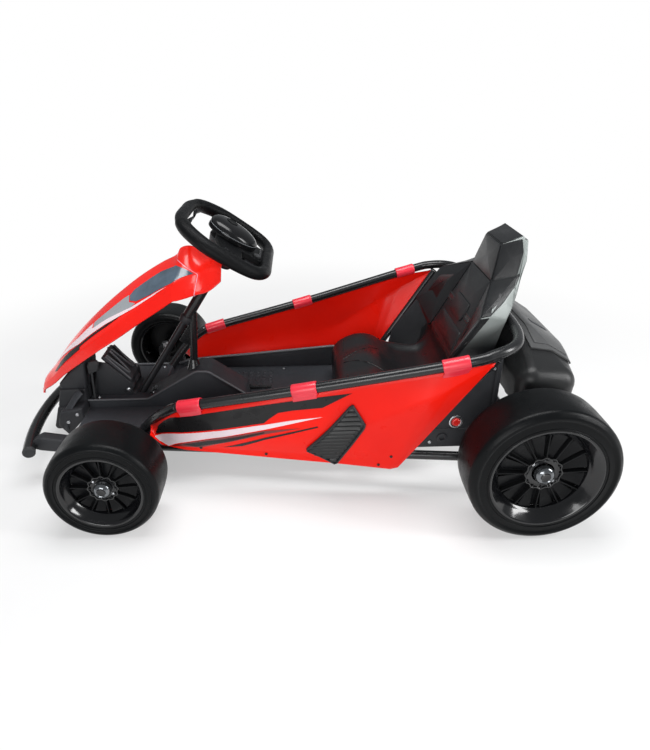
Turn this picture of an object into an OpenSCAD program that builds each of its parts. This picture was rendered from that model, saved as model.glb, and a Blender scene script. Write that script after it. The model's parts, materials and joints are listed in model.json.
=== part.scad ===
// Child's electric drift kart: welded tube chassis with its moulded body, running gear and controls.
// Millimetres. +X points forwards, +Y to the driver's left and +Z up.
// The origin is on the ground, under the middle of the kart.

/* [Running gear] */
// Distance between the front and the rear axle
wheelbase = 840; // [800:5:860]
// Place of the front axle ahead of the origin
front_axle_x = 367; // [360:1:372]
// Outside diameter of a front tyre
front_tyre_d = 219; // [200:1:222]
// Outside diameter of a rear tyre
rear_tyre_d = 294; // [280:1:298]
// Width of every tyre
tyre_w = 104; // [90:1:106]
// Distance between the outer faces of the front tyres
front_track = 749; // [740:1:760]
// Distance between the outer faces of the rear tyres
rear_track = 833; // [825:1:850]
// Number of spokes in a rim
spokes = 12; // [8:1:14]
// Diameter of the wheel shafts
shaft_d = 12; // [10:0.5:14]

/* [Frame] */
// Outside diameter of the upper hoop tube
hoop_d = 22; // [18:1:22]
// Outside diameter of the lower rails and of the braces
rail_d = 20; // [16:1:20]
// Wall thickness of the frame tubes
tube_wall = 1.5; // [1:0.1:3]

/* [Steering] */
// Lean of the steering column back from upright
column_lean = 33.5; // [32:0.5:35]
// Height of the middle of the steering wheel
wheel_z = 497; // [492:1:502]
// Diameter of the steering column
column_d = 16; // [12:1:18]
// Thickness of the steering wheel's rim
grip_d = 30; // [24:1:32]
// Distance of a kingpin from the centre line
kingpin_y = 248; // [246:1:249]

/* [Seat and body] */
// Height of the top of the headrest
seat_top = 510; // [490:1:515]
// Thickness of the moulded skins
skin = 3; // [2:0.5:4]

/* [Hidden] */
$fn = 48;

// Shared places
rear_axle_x = front_axle_x - wheelbase;
front_r = front_tyre_d / 2;
rear_r = rear_tyre_d / 2;
front_wheel_y = front_track / 2 - tyre_w / 2;
rear_wheel_y = rear_track / 2 - tyre_w / 2;
fit = 0.05;
gap = 0.6;

// Steering column: it passes through the hub point and leans back
hub = [125, 0, wheel_z];
boot_r = 50;

// How far the middle of a rim lies in from the tyre's outer face
front_dish = 20;
rear_dish = 22;
column_down = [sin(column_lean), 0, -cos(column_lean)];
crank_z = 111;
arm_len = 46;
crank_len = 30;
tie_z = 81.5;

// Route of the upper hoop on the left side, from the front end to the middle behind the seat
hoop_left = [
    [356, 118, 66], [342, 136, 98], [325, 155, 124], [288, 184, 166], [246, 203, 196], [216, 211, 204],
    [-25, 247, 257], [-320, 292, 330], [-385, 290, 346], [-432, 264, 352], [-456, 215, 352],
    [-468, 140, 350], [-470, 0, 350]
];
rail_front = [349.8, 150, 65];
rail_rear = [-440, 262, 88];

function unit(v) = v / norm(v);
function along(a, b, t) = a + (b - a) * t;
function flip(p) = [p[0], -p[1], p[2]];
function rev(list) = [for (i = [len(list) - 1:-1:0]) list[i]];
function tube_y(x) = lookup(x, [[-385, 290], [-320, 292], [-25, 247], [216, 211], [246, 203], [320, 160]]);
function tube_z(x) = lookup(x, [[-385, 346], [-320, 330], [-25, 257], [216, 204], [246, 196], [288, 166]]);
function rail_y(x) = along(rail_front, rail_rear, (x - rail_front[0]) / (rail_rear[0] - rail_front[0]))[1];

// A point on the smooth curve through a list of points, with t counted in spans
function knot(p, i) = p[max(0, min(len(p) - 1, i))];
function on_curve(p, t) =
    let (i = min(floor(t), len(p) - 2), u = t - i,
         a = knot(p, i - 1), b = knot(p, i), c = knot(p, i + 1), d = knot(p, i + 2))
    0.5 * (2 * b + (c - a) * u + (2 * a - 5 * b + 4 * c - d) * u * u
        + (3 * b - a - 3 * c + d) * u * u * u);
function smooth(p, steps) = [for (k = [0:steps * (len(p) - 1)]) on_curve(p, k / steps)];

// Rings of a round bar swept along a path
function heading(p, i, closed) =
    closed ? unit(p[(i + 1) % len(p)] - p[(i + len(p) - 1) % len(p)]) : unit(knot(p, i + 1) - knot(p, i - 1));
function bar_ring(c, t, r, sides) =
    let (s = unit(cross(t, [0.02, 0.01, 1])), u = cross(s, t))
    [for (k = [0:sides - 1]) c + r * (cos(360 * k / sides) * s + sin(360 * k / sides) * u)];

module bar_along(path, r, sides = 14, closed = false) {
    n = len(path);
    spans = closed ? n : n - 1;
    skinned = [for (i = [0:spans - 1], k = [0:sides - 1])
        [i * sides + k, i * sides + (k + 1) % sides,
         ((i + 1) % n) * sides + (k + 1) % sides, ((i + 1) % n) * sides + k]];
    ends = closed ? [] : [[for (k = [sides - 1:-1:0]) k], [for (k = [0:sides - 1]) (n - 1) * sides + k]];
    points = [for (i = [0:n - 1]) each bar_ring(path[i], heading(path, i, closed), r, sides)];
    polyhedron(points, concat(skinned, ends), convexity = 8);
}

// A straight round bar from one point to another
module rod(a, b, d) {
    v = b - a;
    translate(a)
        rotate([0, acos(v[2] / norm(v)), atan2(v[1], v[0])])
            cylinder(h = norm(v), d = d);
}

module pipe(a, b, d, wall) {
    over = unit(b - a);
    difference() {
        rod(a, b, d);
        rod(a - over, b + over, d - 2 * wall);
    }
}

module box_between(a, b) {
    translate(a)
        cube(b - a);
}

// A closed sheet between two grids of points; rows run along the sheet and columns run across it
module sheet(outer, inner) {
    rows = len(outer);
    cols = len(outer[0]);
    n = rows * cols;
    points = concat([for (r = outer) each r], [for (r = inner) each r]);
    top = [for (i = [0:rows - 2], j = [0:cols - 2]) each [
        [i * cols + j, i * cols + j + 1, (i + 1) * cols + j + 1],
        [i * cols + j, (i + 1) * cols + j + 1, (i + 1) * cols + j]]];
    under = [for (f = top) [n + f[2], n + f[1], n + f[0]]];
    rim = concat(
        [for (j = [0:cols - 2]) j],
        [for (i = [0:rows - 2]) i * cols + cols - 1],
        [for (j = [cols - 1:-1:1]) (rows - 1) * cols + j],
        [for (i = [rows - 1:-1:1]) i * cols]);
    wall = [for (k = [0:len(rim) - 1])
        let (a = rim[k], b = rim[(k + 1) % len(rim)])
        each [[b, a, n + a], [b, n + a, n + b]]];
    polyhedron(points, concat(top, under, wall), convexity = 8);
}

// A side profile drawn in X and Z, given a width across the kart
module across(y0, y1) {
    translate([0, y1, 0])
        rotate([90, 0, 0])
            linear_extrude(y1 - y0)
                children();
}

// Turns a shape built on the Z axis onto an axle, its +Z end outwards, on the left or the right side
module on_axle(p, left) {
    mirror([0, left ? 0 : 1, 0])
        translate(p)
            rotate([-90, 0, 0])
                children();
}

// Places a shape in the steering wheel's own plane, Z along the column
module on_column(back = 0) {
    translate(hub + column_down * back)
        rotate([0, -column_lean, 0])
            children();
}

// --- Frame -------------------------------------------------------------------------------------

hoop_path = concat(smooth(hoop_left, 3), [for (p = rev(smooth(hoop_left, 3))) if (p[1] > 1) flip(p)]);

module upper_hoop() {
    color("black")
        difference() {
            bar_along(hoop_path, hoop_d / 2);
            bar_along(hoop_path, hoop_d / 2 - tube_wall);
            box_between([300, -200, 50], [400, 200, 75.2]);
        }
}

module lower_rails() {
    color("black") {
        pipe(rail_front, rail_rear, rail_d, tube_wall);
        pipe(flip(rail_front), flip(rail_rear), rail_d, tube_wall);
    }
}

// Each brace follows the rear edge of a side panel, from the hoop down to the lower rail
brace_top = [-394, 280, 330];
brace_foot = [-228, 240, 97];

module rear_braces() {
    color("black") {
        pipe(brace_top, brace_foot, rail_d - 4, tube_wall);
        pipe(flip(brace_top), flip(brace_foot), rail_d - 4, tube_wall);
    }
}

module mid_cross_tube() {
    y = rail_y(-150) - rail_d / 2 - gap;
    color("black")
        pipe([-150, -y, 79], [-150, y, 79], rail_d - 2, tube_wall);
}

module rear_cross_tube() {
    y = rail_y(-400) - rail_d / 2 - gap;
    color("black")
        pipe([-400, -y, 88], [-400, y, 88], rail_d - 2, tube_wall);
}

// Steel plates that carry the rear shaft
module axle_plates() {
    for (left = [true, false])
        color("black")
            on_axle([rear_axle_x, 224, rear_r], left)
                difference() {
                    linear_extrude(5)
                        hull() {
                            circle(r = 24);
                            translate([73, 59])
                                circle(r = 18);
                        }
                    translate([0, 0, -1])
                        cylinder(h = 7, r = shaft_d / 2);
                    translate([-400 - rear_axle_x, rear_r - 88, -1])
                        cylinder(h = 7, r = rail_d / 2 - 0.95);
                }
}

module front_beam() {
    color("black")
        difference() {
            box_between([front_axle_x - 15, -225, 55], [front_axle_x + 15, 225, 75]);
            box_between([front_axle_x - 13, -226, 57], [front_axle_x + 13, 226, 73]);
        }
}

// C-shaped brackets that hold the kingpins
module front_yokes() {
    for (side = [1, -1])
        color("black")
            translate([front_axle_x, side * kingpin_y, front_r])
                difference() {
                    union() {
                        box_between([-14, side > 0 ? -22.5 : 17.5, -54], [14, side > 0 ? -17.5 : 22.5, 27.5]);
                        for (z = [-27.5, 22.5])
                            translate([0, 0, z])
                                linear_extrude(5)
                                    hull() {
                                        circle(r = 12);
                                        translate([-12, side > 0 ? -18 : 14])
                                            square([24, 4]);
                                    }
                    }
                    translate([0, 0, -60])
                        cylinder(h = 100, r = 5 + fit);
                }
}

bumper_half = 200;
bumper_path = [for (k = [-10:10]) [606.5 - 32 * pow(k / 10, 2), bumper_half * k / 10, 91]];

module bumper_tube() {
    color("black")
        difference() {
            bar_along(bumper_path, 13);
            bar_along(bumper_path, 13 - tube_wall);
        }
}

module bumper_caps() {
    color("dimgray")
        for (side = [1, -1])
            translate([574.3, side * (bumper_half + 0.6), 91])
                rotate([side * -90, 0, side * 17])
                    rotate_extrude()
                        polygon([[0, 0], [13, 0], [13, 3], [10, 6], [0, 7]]);
}

module bumper_brackets() {
    for (side = [1, -1])
        color("black")
            difference() {
                across(side > 0 ? 152 : -180, side > 0 ? 180 : -152)
                    polygon([[492, 68], [560, 78], [578, 86], [578, 104], [556, 112], [492, 100]]);
                bar_along(bumper_path, 13.2);
            }
}

// --- Floor, nose and body skins ----------------------------------------------------------------

// Outline of a folded sheet from its upper side and its thickness
module folded(points, t) {
    polygon(concat(points, [for (p = rev(points)) [p[0], p[1] - t]]));
}

deck_z = 124;
ledge_z = 104;
well_z = 92;
pan_front = 492;
tunnel_y = [-35, 42];

module tunnel_side(y) {
    across(y, y + skin)
        polygon([[pan_front, ledge_z], [pan_front, deck_z - skin], [350, deck_z - skin], [232, 192], [200, 190],
                 [118, 130], [110, well_z], [300, well_z], [318, ledge_z]]);
}

module floor_pan() {
    color("#202225")
        difference() {
            union() {
                across(-186, 186)
                    folded([[-290, well_z], [296, well_z], [316, ledge_z], [pan_front, ledge_z]], skin);
                across(tunnel_y[0], tunnel_y[1])
                    folded([[pan_front, deck_z], [350, deck_z], [232, 195], [200, 193], [118, 133], [110, well_z]], skin);
                across(-140, tunnel_y[0])
                    folded([[pan_front, deck_z], [326, deck_z], [322, ledge_z]], skin);
                for (y = [tunnel_y[0], tunnel_y[1] - skin])
                    tunnel_side(y);
                box_between([326, -140, ledge_z - 1], [pan_front, -140 + skin, deck_z]);
                for (side = [1, -1])
                    across(side > 0 ? 183 : -186, side > 0 ? 186 : -183)
                        polygon([[-290, well_z - skin], [-290, 152], [-100, 150], [160, 128], [240, 122],
                                 [300, 116], [318, ledge_z - skin], [296, well_z - skin]]);
            }
            box_between([front_axle_x - 7, -9.5, 90], [front_axle_x + 17, 9.5, 140]);
            box_between([321, tunnel_y[0] + skin, 80], [412, tunnel_y[1] - skin, deck_z - skin]);
            for (x = [20, 50, 80], y = [-150:30:150])
                if (abs(y) > 50)
                    translate([x, y, 80])
                        cylinder(h = 20, d = 8);
            for (side = [1, -1])
                rod([318, side * 163, 135], [350, side * 126, 82], hoop_d + 6);
        }
}

// The black cover of the nose, under the tip of the fairing
module nose_cover() {
    color("#26282b")
        difference() {
            hull() {
                across(-46, 46)
                    polygon([[552, 156], [582, 56], [578, 50], [532, 50], [493, 100], [493, 156]]);
                across(-84, 84)
                    polygon([[548, 116], [556, 80], [534, 54], [493, 100], [493, 126]]);
            }
            hull() {
                across(-43, 43)
                    polygon([[549, 153], [578, 57], [575, 49], [534, 49], [496, 100], [496, 153]]);
                across(-81, 81)
                    polygon([[545, 113], [552, 80], [534, 56], [496, 100], [496, 123]]);
            }
        }
}

// Stations of the fairing: x, ridge height, crease half-width and height, edge half-width and height
fairing_stations = [
    [602, 150, 16, 148, 20, 138], [590, 176, 30, 168, 36, 154], [560, 212, 46, 192, 52, 176],
    [525, 256, 58, 228, 64, 206], [480, 303, 70, 266, 78, 240], [428, 350, 80, 304, 88, 276],
    [379, 389, 84, 338, 94, 308], [331, 423, 86, 372, 100, 342], [285, 450, 86, 404, 104, 372],
    [252, 465, 86, 424, 106, 394]
];
hood_stations = [
    [250, 468, 84, 428, 104, 396], [240, 484, 78, 433, 104, 398], [222, 487, 72, 437, 104, 402],
    [204, 481, 68, 440, 104, 408], [188, 470, 66, 444, 102, 411], [170, 464, 66, 450, 98, 416],
    [146, 462, 68, 458, 92, 434]
];

function skin_row(s, t) = [
    [s[0], -s[4], s[5] - t * 0.2], [s[0], t - s[2], s[3] - t], [s[0], 0, s[1] - t],
    [s[0], s[2] - t, s[3] - t], [s[0], s[4], s[5] - t * 0.2]];
function in_row(s, t) = [
    [s[0], t - s[4], s[5]], [s[0], t - s[2], s[3] - t], [s[0], 0, s[1] - t],
    [s[0], s[2] - t, s[3] - t], [s[0], s[4] - t, s[5]]];

module fairing() {
    color("red")
        sheet([for (s = rev(fairing_stations)) skin_row(s, 0)],
              [for (s = rev(fairing_stations)) in_row(s, skin)]);
}

module column_hood() {
    color("red")
        difference() {
            sheet([for (s = rev(hood_stations)) skin_row(s, 0)],
                  [for (s = rev(hood_stations)) in_row(s, skin)]);
            on_column(74)
                cylinder(h = 100, r = boot_r + 2);
        }
}

// Hollow block that ties the fairing to the nose
module fairing_support() {
    color("#1c1d1f")
        difference() {
            across(-44, 44)
                polygon([[550, 157], [551, 172], [500, 224], [484, 224], [492, 157]]);
            across(-41, 41)
                polygon([[547, 160], [548, 171], [499, 221], [487, 221], [495, 160]]);
            across(-45, 45)
                polygon([[530, 168], [500, 200], [498, 168]]);
        }
}

// Side panel: rows from the tube down to the rail, with two lengthwise creases
panel_x = [[314, 306], [292, 284], [246, 232], [150, 120], [31, 20], [-80, -90], [-160, -170], [-250, -206], [-330, -222], [-389, -228]];
panel_top = [[314, 142], [292, 166], [246, 182], [216, 189], [-25, 242], [-320, 315], [-389, 328]];
panel_low = [[306, 132], [284, 108], [232, 96], [120, 88], [20, 80], [-90, 72], [-206, 61], [-222, 66], [-228, 74]];
panel_foot_y = [[-228, 256], [306, 206]];
function panel_point(i, k, off) =
    let (a = panel_x[i][0], b = panel_x[i][1], x = a + (b - a) * k,
         top = lookup(a, rev(panel_top)), low = lookup(b, rev(panel_low)),
         edge_y = tube_y(a) - 1, foot_y = lookup(b, panel_foot_y),
         belly = 16 * sin(180 * min(1, k * 1.1)) * min(1, (320 - a) / 160),
         z = top + (low - top) * k,
         y = edge_y + (foot_y - edge_y) * k + belly)
    [x, y + off, z];

module side_panel(left) {
    rows = [1, 0.5, 0.3, 0];
    color("red")
        mirror([0, left ? 0 : 1, 0])
            difference() {
                sheet([for (i = [0:len(panel_x) - 1]) [for (k = rows) panel_point(i, k, skin)]],
                      [for (i = [0:len(panel_x) - 1]) [for (k = rows) panel_point(i, k, 0)]]);
                bar_along(smooth(hoop_left, 3), hoop_d / 2 + 0.3);
            }
}

// Straps that clip the panels to the tube, three a side
module panel_clip(x) {
    c = [x, tube_y(x), tube_z(x)];
    t = unit([30, tube_y(x + 15) - tube_y(x - 15), tube_z(x + 15) - tube_z(x - 15)]);
    difference() {
        union() {
            rod(c - 26 * t, c + 26 * t, hoop_d + 6);
            translate(c + [0, hoop_d / 2, 0])
                rotate([0, -asin(t[2]), 0])
                    box_between([-26, -1, -19], [26, 3, 0]);
        }
        rod(c - 28 * t, c + 28 * t, hoop_d + 0.4);
        translate(c)
            rotate([0, -asin(t[2]), 0])
                box_between([-28, -16, -40], [28, 9.6, -8]);
    }
}

module panel_clips() {
    color("#ff4a55")
        difference() {
            for (side = [0, 1], x = [214, -25, -314])
                mirror([0, side, 0])
                    panel_clip(x);
            bar_along(hoop_path, hoop_d / 2 + 0.2);
        }
}

// Louvred vent insert on each panel
vent_corners = [[-114, 238], [-140, 186], [-85, 88], [-30, 122]];

module panel_vents() {
    for (side = [1, -1])
        color("#191a1c")
            mirror([0, side > 0 ? 0 : 1, 0])
                hull() {
                    for (i = [0:3])
                        translate([vent_corners[i][0], [286, 294, 272, 268][i], vent_corners[i][1]])
                            rotate([-90, 0, 0])
                                cylinder(h = 4, d = 5, $fn = 16);
                }
}

// --- Seat --------------------------------------------------------------------------------------

module seat_slab(pairs) {
    hull()
        for (p = pairs)
            translate(p)
                sphere(d = 16, $fn = 20);
}

module seat_back() {
    color("#18191b")
        difference() {
            union() {
                seat_slab([[-503, 66, seat_top - 8], [-503, -66, seat_top - 8], [-492, 76, 470], [-492, -76, 470],
                           [-452, 84, 404], [-452, -84, 404], [-474, 80, 494], [-474, -80, 494],
                           [-444, 92, 424], [-444, -92, 424]]);
                seat_slab([[-452, 90, 400], [-452, -90, 400], [-420, 104, 340], [-420, -104, 340],
                           [-378, 112, 250], [-378, -112, 250]]);
                for (side = [1, -1]) {
                    seat_slab([[-458, side * 92, 418], [-452, side * 92, 396], [-394, side * 166, 374],
                               [-412, side * 106, 330], [-338, side * 176, 290]]);
                    seat_slab([[-412, side * 106, 330], [-338, side * 176, 290], [-378, side * 112, 250],
                               [-360, side * 124, 238]]);
                    seat_slab([[-486, side * 92, 440], [-466, side * 104, 408], [-448, side * 138, 378],
                               [-444, side * 148, 346], [-424, side * 132, 296], [-408, side * 126, 260],
                               [-400, side * 166, 376], [-350, side * 174, 298], [-368, side * 124, 244]]);
                }
            }
            for (side = [1, -1])
                translate([-480 + 28, side * 74, 326])
                    rotate([0, 90, 0])
                        linear_extrude(160)
                            square([10, 26], center = true);
        }
}

// Moulded cushion: a raised front bolster and a scooped sitting surface
module seat_base() {
    color("#18191b")
        difference() {
            across(-146, 146)
                polygon([[-102, well_z + 0.4], [-100, 156], [-114, 188], [-144, 208], [-178, 214], [-212, 208],
                         [-236, 190], [-340, 168], [-346, 152], [-336, well_z + 0.4]]);
            translate([-300, 0, 280])
                rotate([90, 0, 0])
                    cylinder(h = 250, r = 112, center = true);
            box_between([-316, -130, 90], [-112, 130, 148]);
        }
}

module seat_bracket() {
    for (side = [1, -1])
        color("black")
            across(side > 0 ? 100 : -105, side > 0 ? 105 : -100)
                polygon([[-352, 97.6], [-352, 170], [-392, 236], [-406, 232], [-410, 97.6]]);
}

// --- Rear body and drive -----------------------------------------------------------------------

lid_hinge = [-500, 331];

module cover_block(t) {
    hull()
        for (side = [1, -1])
            for (p = [[-490, 232, 262], [-548, 228, 254], [-582, 92, 250], [-510, 100, 292]]) {
                translate([p[0], side * p[1], p[2]])
                    sphere(r = 34 - t, $fn = 32);
                translate([p[0], side * p[1], 204])
                    cylinder(r = 30 - t, h = 20, $fn = 32);
            }
}

module rear_cover() {
    color("#1b1c1e")
        difference() {
            cover_block(0);
            cover_block(skin);
            box_between([-620, -300, 190], [-400, 300, 208]);
            for (side = [1, -1])
                box_between([-530, side > 0 ? 200 : -300, 190], [-430, side > 0 ? 300 : -200, 234]);
            box_between([-486, -110, 240], [-440, 110, 360]);
        }
    color("dimgray")
        union() {
            rod([lid_hinge[0], -48, lid_hinge[1]], [lid_hinge[0], 48, lid_hinge[1]], 4);
            for (side = [1, -1])
                box_between([lid_hinge[0] - 4, side > 0 ? 42 : -48, 322.5],
                            [lid_hinge[0] + 4, side > 0 ? 48 : -42, lid_hinge[1] + 3.5]);
        }
}

// Lid over the middle of the rear cover, on a pin along its front edge
module cover_lid() {
    color("#1b1c1e")
        difference() {
            union() {
                intersection() {
                    difference() {
                        cover_block(-4.6);
                        cover_block(-0.6);
                    }
                    box_between([-604, -186, 272], [-500, 186, 340]);
                }
                rod([lid_hinge[0], -40, lid_hinge[1]], [lid_hinge[0], 40, lid_hinge[1]], 7.4);
            }
            rod([lid_hinge[0], -50, lid_hinge[1]], [lid_hinge[0], 50, lid_hinge[1]], 4 + 2 * fit);
            for (side = [1, -1])
                box_between([lid_hinge[0] - 6, side > 0 ? 41 : -49, 310],
                            [lid_hinge[0] + 6, side > 0 ? 49 : -41, 345]);
        }
}

module battery() {
    color("dimgray")
        box_between([-300, -78, well_z + 0.2], [-200, 78, 142]);
}

module controller() {
    color("gainsboro")
        box_between([-186, -50, well_z + 0.2], [-116, 50, 126]);
}

// Gearboxes on the rear shaft, inboard of each wheel
module gearboxes() {
    for (left = [true, false])
        color("#111214")
            on_axle([rear_axle_x, 244, rear_r], left)
                difference() {
                    linear_extrude(52)
                        hull() {
                            circle(r = 40);
                            translate([-12, -58])
                                circle(r = 24);
                        }
                    translate([0, 0, -1])
                        cylinder(h = 60, r = shaft_d / 2 + 0.5);
                }
}

module drive_motors() {
    for (left = [true, false])
        color("silver")
            on_axle([rear_axle_x - 12, 160, rear_r + 58], left)
                union() {
                    cylinder(h = 63, d = 38);
                    translate([0, 0, 63])
                        cylinder(h = 20.5, d = 16);
                }
}

module rear_axle() {
    y = rear_track / 2 - rear_dish + 8;
    color("silver")
        rod([rear_axle_x, -y, rear_r], [rear_axle_x, y, rear_r], shaft_d);
}

// Black plates between the side panels and the rear wheels
plate_y = 236;
button_at = [-342, plate_y, 168];
socket_at = [-316, plate_y, 128];
button_r = 9;
socket_r = 8;

module side_plates() {
    for (left = [true, false])
        color("#131416")
            mirror([0, left ? 0 : 1, 0])
                difference() {
                    across(plate_y, plate_y + 4)
                        polygon([[-262, 104], [-280, 180], [-366, 296], [-424, 316], [-424, 104]]);
                    if (left) {
                        translate(button_at - [0, 10, 0])
                            rotate([-90, 0, 0])
                                cylinder(h = 20, r = button_r + 3 + fit);
                        translate(socket_at - [0, 10, 0])
                            rotate([-90, 0, 0])
                                cylinder(h = 20, r = socket_r + fit);
                    }
                }
}

module power_bezel() {
    color("silver")
        translate(button_at - [0, 8, 0])
            rotate([-90, 0, 0])
                rotate_extrude()
                    polygon([[button_r + 0.2, 0], [button_r + 3, 0], [button_r + 3, 12.3], [button_r + 6, 12.3],
                             [button_r + 5.2, 15.2], [button_r + 0.2, 15.2]]);
}

module power_button() {
    color("red")
        translate(button_at - [0, 18, 0])
            rotate([-90, 0, 0])
                rotate_extrude()
                    polygon([[0, 0], [button_r, 0], [button_r, 27], [button_r - 1, 28.4], [0, 29]]);
}

module charge_socket() {
    color("black")
        translate(socket_at - [0, 12, 0])
            rotate([-90, 0, 0])
                difference() {
                    union() {
                        cylinder(h = 17, r = socket_r);
                        translate([0, 0, 16.2])
                            cylinder(h = 3.4, r = socket_r + 3);
                    }
                    translate([0, 0, 4])
                        cylinder(h = 20, r = 5.5);
                }
}

// --- Steering ----------------------------------------------------------------------------------

// Distance down the column from the hub to a height
function down_to(z) = (wheel_z - z) / cos(column_lean);

module column_sleeve() {
    color("black")
        translate(hub + column_down * down_to(310))
            rotate([0, -column_lean, 0])
                difference() {
                    cylinder(h = 92, r = column_d / 2 + 4);
                    translate([0, 0, -1])
                        cylinder(h = 94, r = column_d / 2 + fit);
                }
}

// Upright post under the sleeve with its flared foot and web
module column_post() {
    color("black")
        difference() {
            union() {
                rod([241, 0, 184], [229, 0, 330], 18);
                translate([240, 0, 186])
                    cylinder(h = 24, r1 = 17, r2 = 9);
                across(-2.5, 2.5)
                    polygon([[232, 326], [262, 300], [272, 262], [236, 240]]);
            }
            translate(hub)
                rotate([0, -column_lean, 0])
                    translate([0, 0, -300])
                        cylinder(h = 300, r = column_d / 2 + 4.2);
            rod([265, 0, 289], [300, 0, 237], column_d + 2);
            across(-30, 30)
                polygon([[360, 119], [232, 195.2], [200, 193.2], [190, 170], [360, 100]]);
        }
}

module steering_column() {
    color("dimgray")
        on_column(down_to(crank_z))
            union() {
                translate([0, 0, 2])
                    cylinder(h = down_to(crank_z) - 14, r = column_d / 2);
                translate([0, 0, -2.5])
                    linear_extrude(5)
                        hull() {
                            circle(r = 10);
                            translate([-crank_len, 0])
                                circle(r = 8);
                        }
                translate([-crank_len, 0, -16])
                    cylinder(h = 15, r = 4);
            }
}

rim_path = smooth([[114, 0, 0], [112, 62, 0], [94, 108, 0], [52, 137, 0], [4, 141, 0], [-46, 134, 0],
                   [-72, 116, 0], [-84, 84, 0], [-85, 40, 0], [-85, 0, 0]], 2);
rim_ring = concat(rim_path, [for (p = rev(rim_path)) if (p[1] > 0.5 && p[0] > -90) flip(p)]);

module steering_rim() {
    color("#202124")
        on_column()
            union() {
                bar_along(rim_ring, grip_d / 2, sides = 12, closed = true);
                hull() {
                    translate([-40, -112, -8])
                        cube([34, 224, 12]);
                    translate([-26, -50, -12])
                        cube([60, 100, 16]);
                }
                difference() {
                    translate([-78, -44, -9])
                        cube([70, 88, 14]);
                    translate([-60, 34, 2.4])
                        cylinder(h = 5, r = 8.3);
                }
                difference() {
                    translate([0, 0, -62])
                        cylinder(h = 54, r1 = boot_r / 2, r2 = boot_r);
                    translate([0, 0, -63])
                        cylinder(h = 53.2, r = column_d / 2 + fit);
                }
            }
}

module steering_pad() {
    color("#1a1b1d")
        on_column()
            translate([0, 0, 5])
                hull() {
                    translate([16, 0, 0])
                        cylinder(h = 10, r = 46);
                    translate([-34, 0, 0])
                        cylinder(h = 8, r = 34);
                    translate([14, 0, 10])
                        cylinder(h = 18, r1 = 42, r2 = 26);
                }
}

module horn_button() {
    color("#303236")
        on_column()
            translate([-60, 34, 5.4])
                cylinder(h = 7, r = 8);
}

module knuckle(left) {
    s = left ? 1 : -1;
    color("dimgray")
        translate([front_axle_x, s * kingpin_y, front_r])
            difference() {
                union() {
                    translate([0, 0, -22])
                        cylinder(h = 44, r = 11);
                    rotate([s * -90, 0, 0])
                        cylinder(h = front_track / 2 - front_dish + 8 - kingpin_y, r = shaft_d / 2);
                    translate([0, 0, -22])
                        linear_extrude(6)
                            hull() {
                                circle(r = 10);
                                translate([-arm_len, 0])
                                    circle(r = 7);
                            }
                    translate([-arm_len, 0, -32])
                        cylinder(h = 12, r = 4);
                }
                translate([0, 0, -30])
                    cylinder(h = 60, r = 5 + fit);
            }
}

module kingpins() {
    for (side = [1, -1])
        color("silver")
            translate([front_axle_x, side * kingpin_y, front_r])
                union() {
                    translate([0, 0, -34])
                        cylinder(h = 66, r = 5);
                    translate([0, 0, 27.6])
                        cylinder(h = 6, r = 8.5, $fn = 6);
                    translate([0, 0, -34.5])
                        cylinder(h = 6.8, r = 8.5, $fn = 6);
                }
}

// The bar between the steering arms; the column's crank works in the slot of its centre plate
module tie_rod() {
    x = front_axle_x - arm_len;
    color("dimgray")
        translate([0, 0, tie_z - 2.5])
            difference() {
                union() {
                    box_between([x - 7, -kingpin_y, 0], [x + 7, kingpin_y, 5]);
                    for (side = [1, -1])
                        translate([x, side * kingpin_y, 0])
                            cylinder(h = 5, r = 8.5);
                    box_between([x - 7, -22, 0], [x + 68, 22, 5]);
                }
                translate([x, kingpin_y, -1])
                    cylinder(h = 7, r = 4 + fit);
                translate([x, -kingpin_y, -1])
                    cylinder(h = 7, r = 4.5);
                hull()
                    for (dx = [32, 54])
                        translate([x + dx, 0, -1])
                            cylinder(h = 7, r = 4.6, $fn = 32);
            }
}

// --- Pedal -------------------------------------------------------------------------------------

pedal_hinge = [400, 138];

module pedal_box() {
    color("#2b2d30")
        difference() {
            across(-70, 16)
                polygon([[392, deck_z], [392, 156], [442, 210], [464, 214], [484, 134], [484, deck_z]]);
            across(-66, 12)
                polygon([[386, deck_z + 3], [386, 190], [474, 240], [474, deck_z + 3]]);
            rod([pedal_hinge[0], -80, pedal_hinge[1]], [pedal_hinge[0], 30, pedal_hinge[1]], 6);
        }
    color("silver")
        rod([pedal_hinge[0], -71, pedal_hinge[1]], [pedal_hinge[0], 17, pedal_hinge[1]], 6);
}

module pedal() {
    color("#33363a")
        difference() {
            union() {
                across(-62, 8)
                    polygon([[396, 144], [401, 148], [457, 219], [453, 223], [446, 222], [394, 160]]);
                rod([pedal_hinge[0], -62, pedal_hinge[1]], [pedal_hinge[0], 8, pedal_hinge[1]], 16);
                for (y = [-62, -30, 2])
                    across(y, y + 6)
                        polygon([[401, 146], [449, 207], [447, 191], [416, 140]]);
            }
            rod([pedal_hinge[0], -80, pedal_hinge[1]], [pedal_hinge[0], 30, pedal_hinge[1]], 6 + 2 * fit);
        }
}

// --- Wheels ------------------------------------------------------------------------------------

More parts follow.
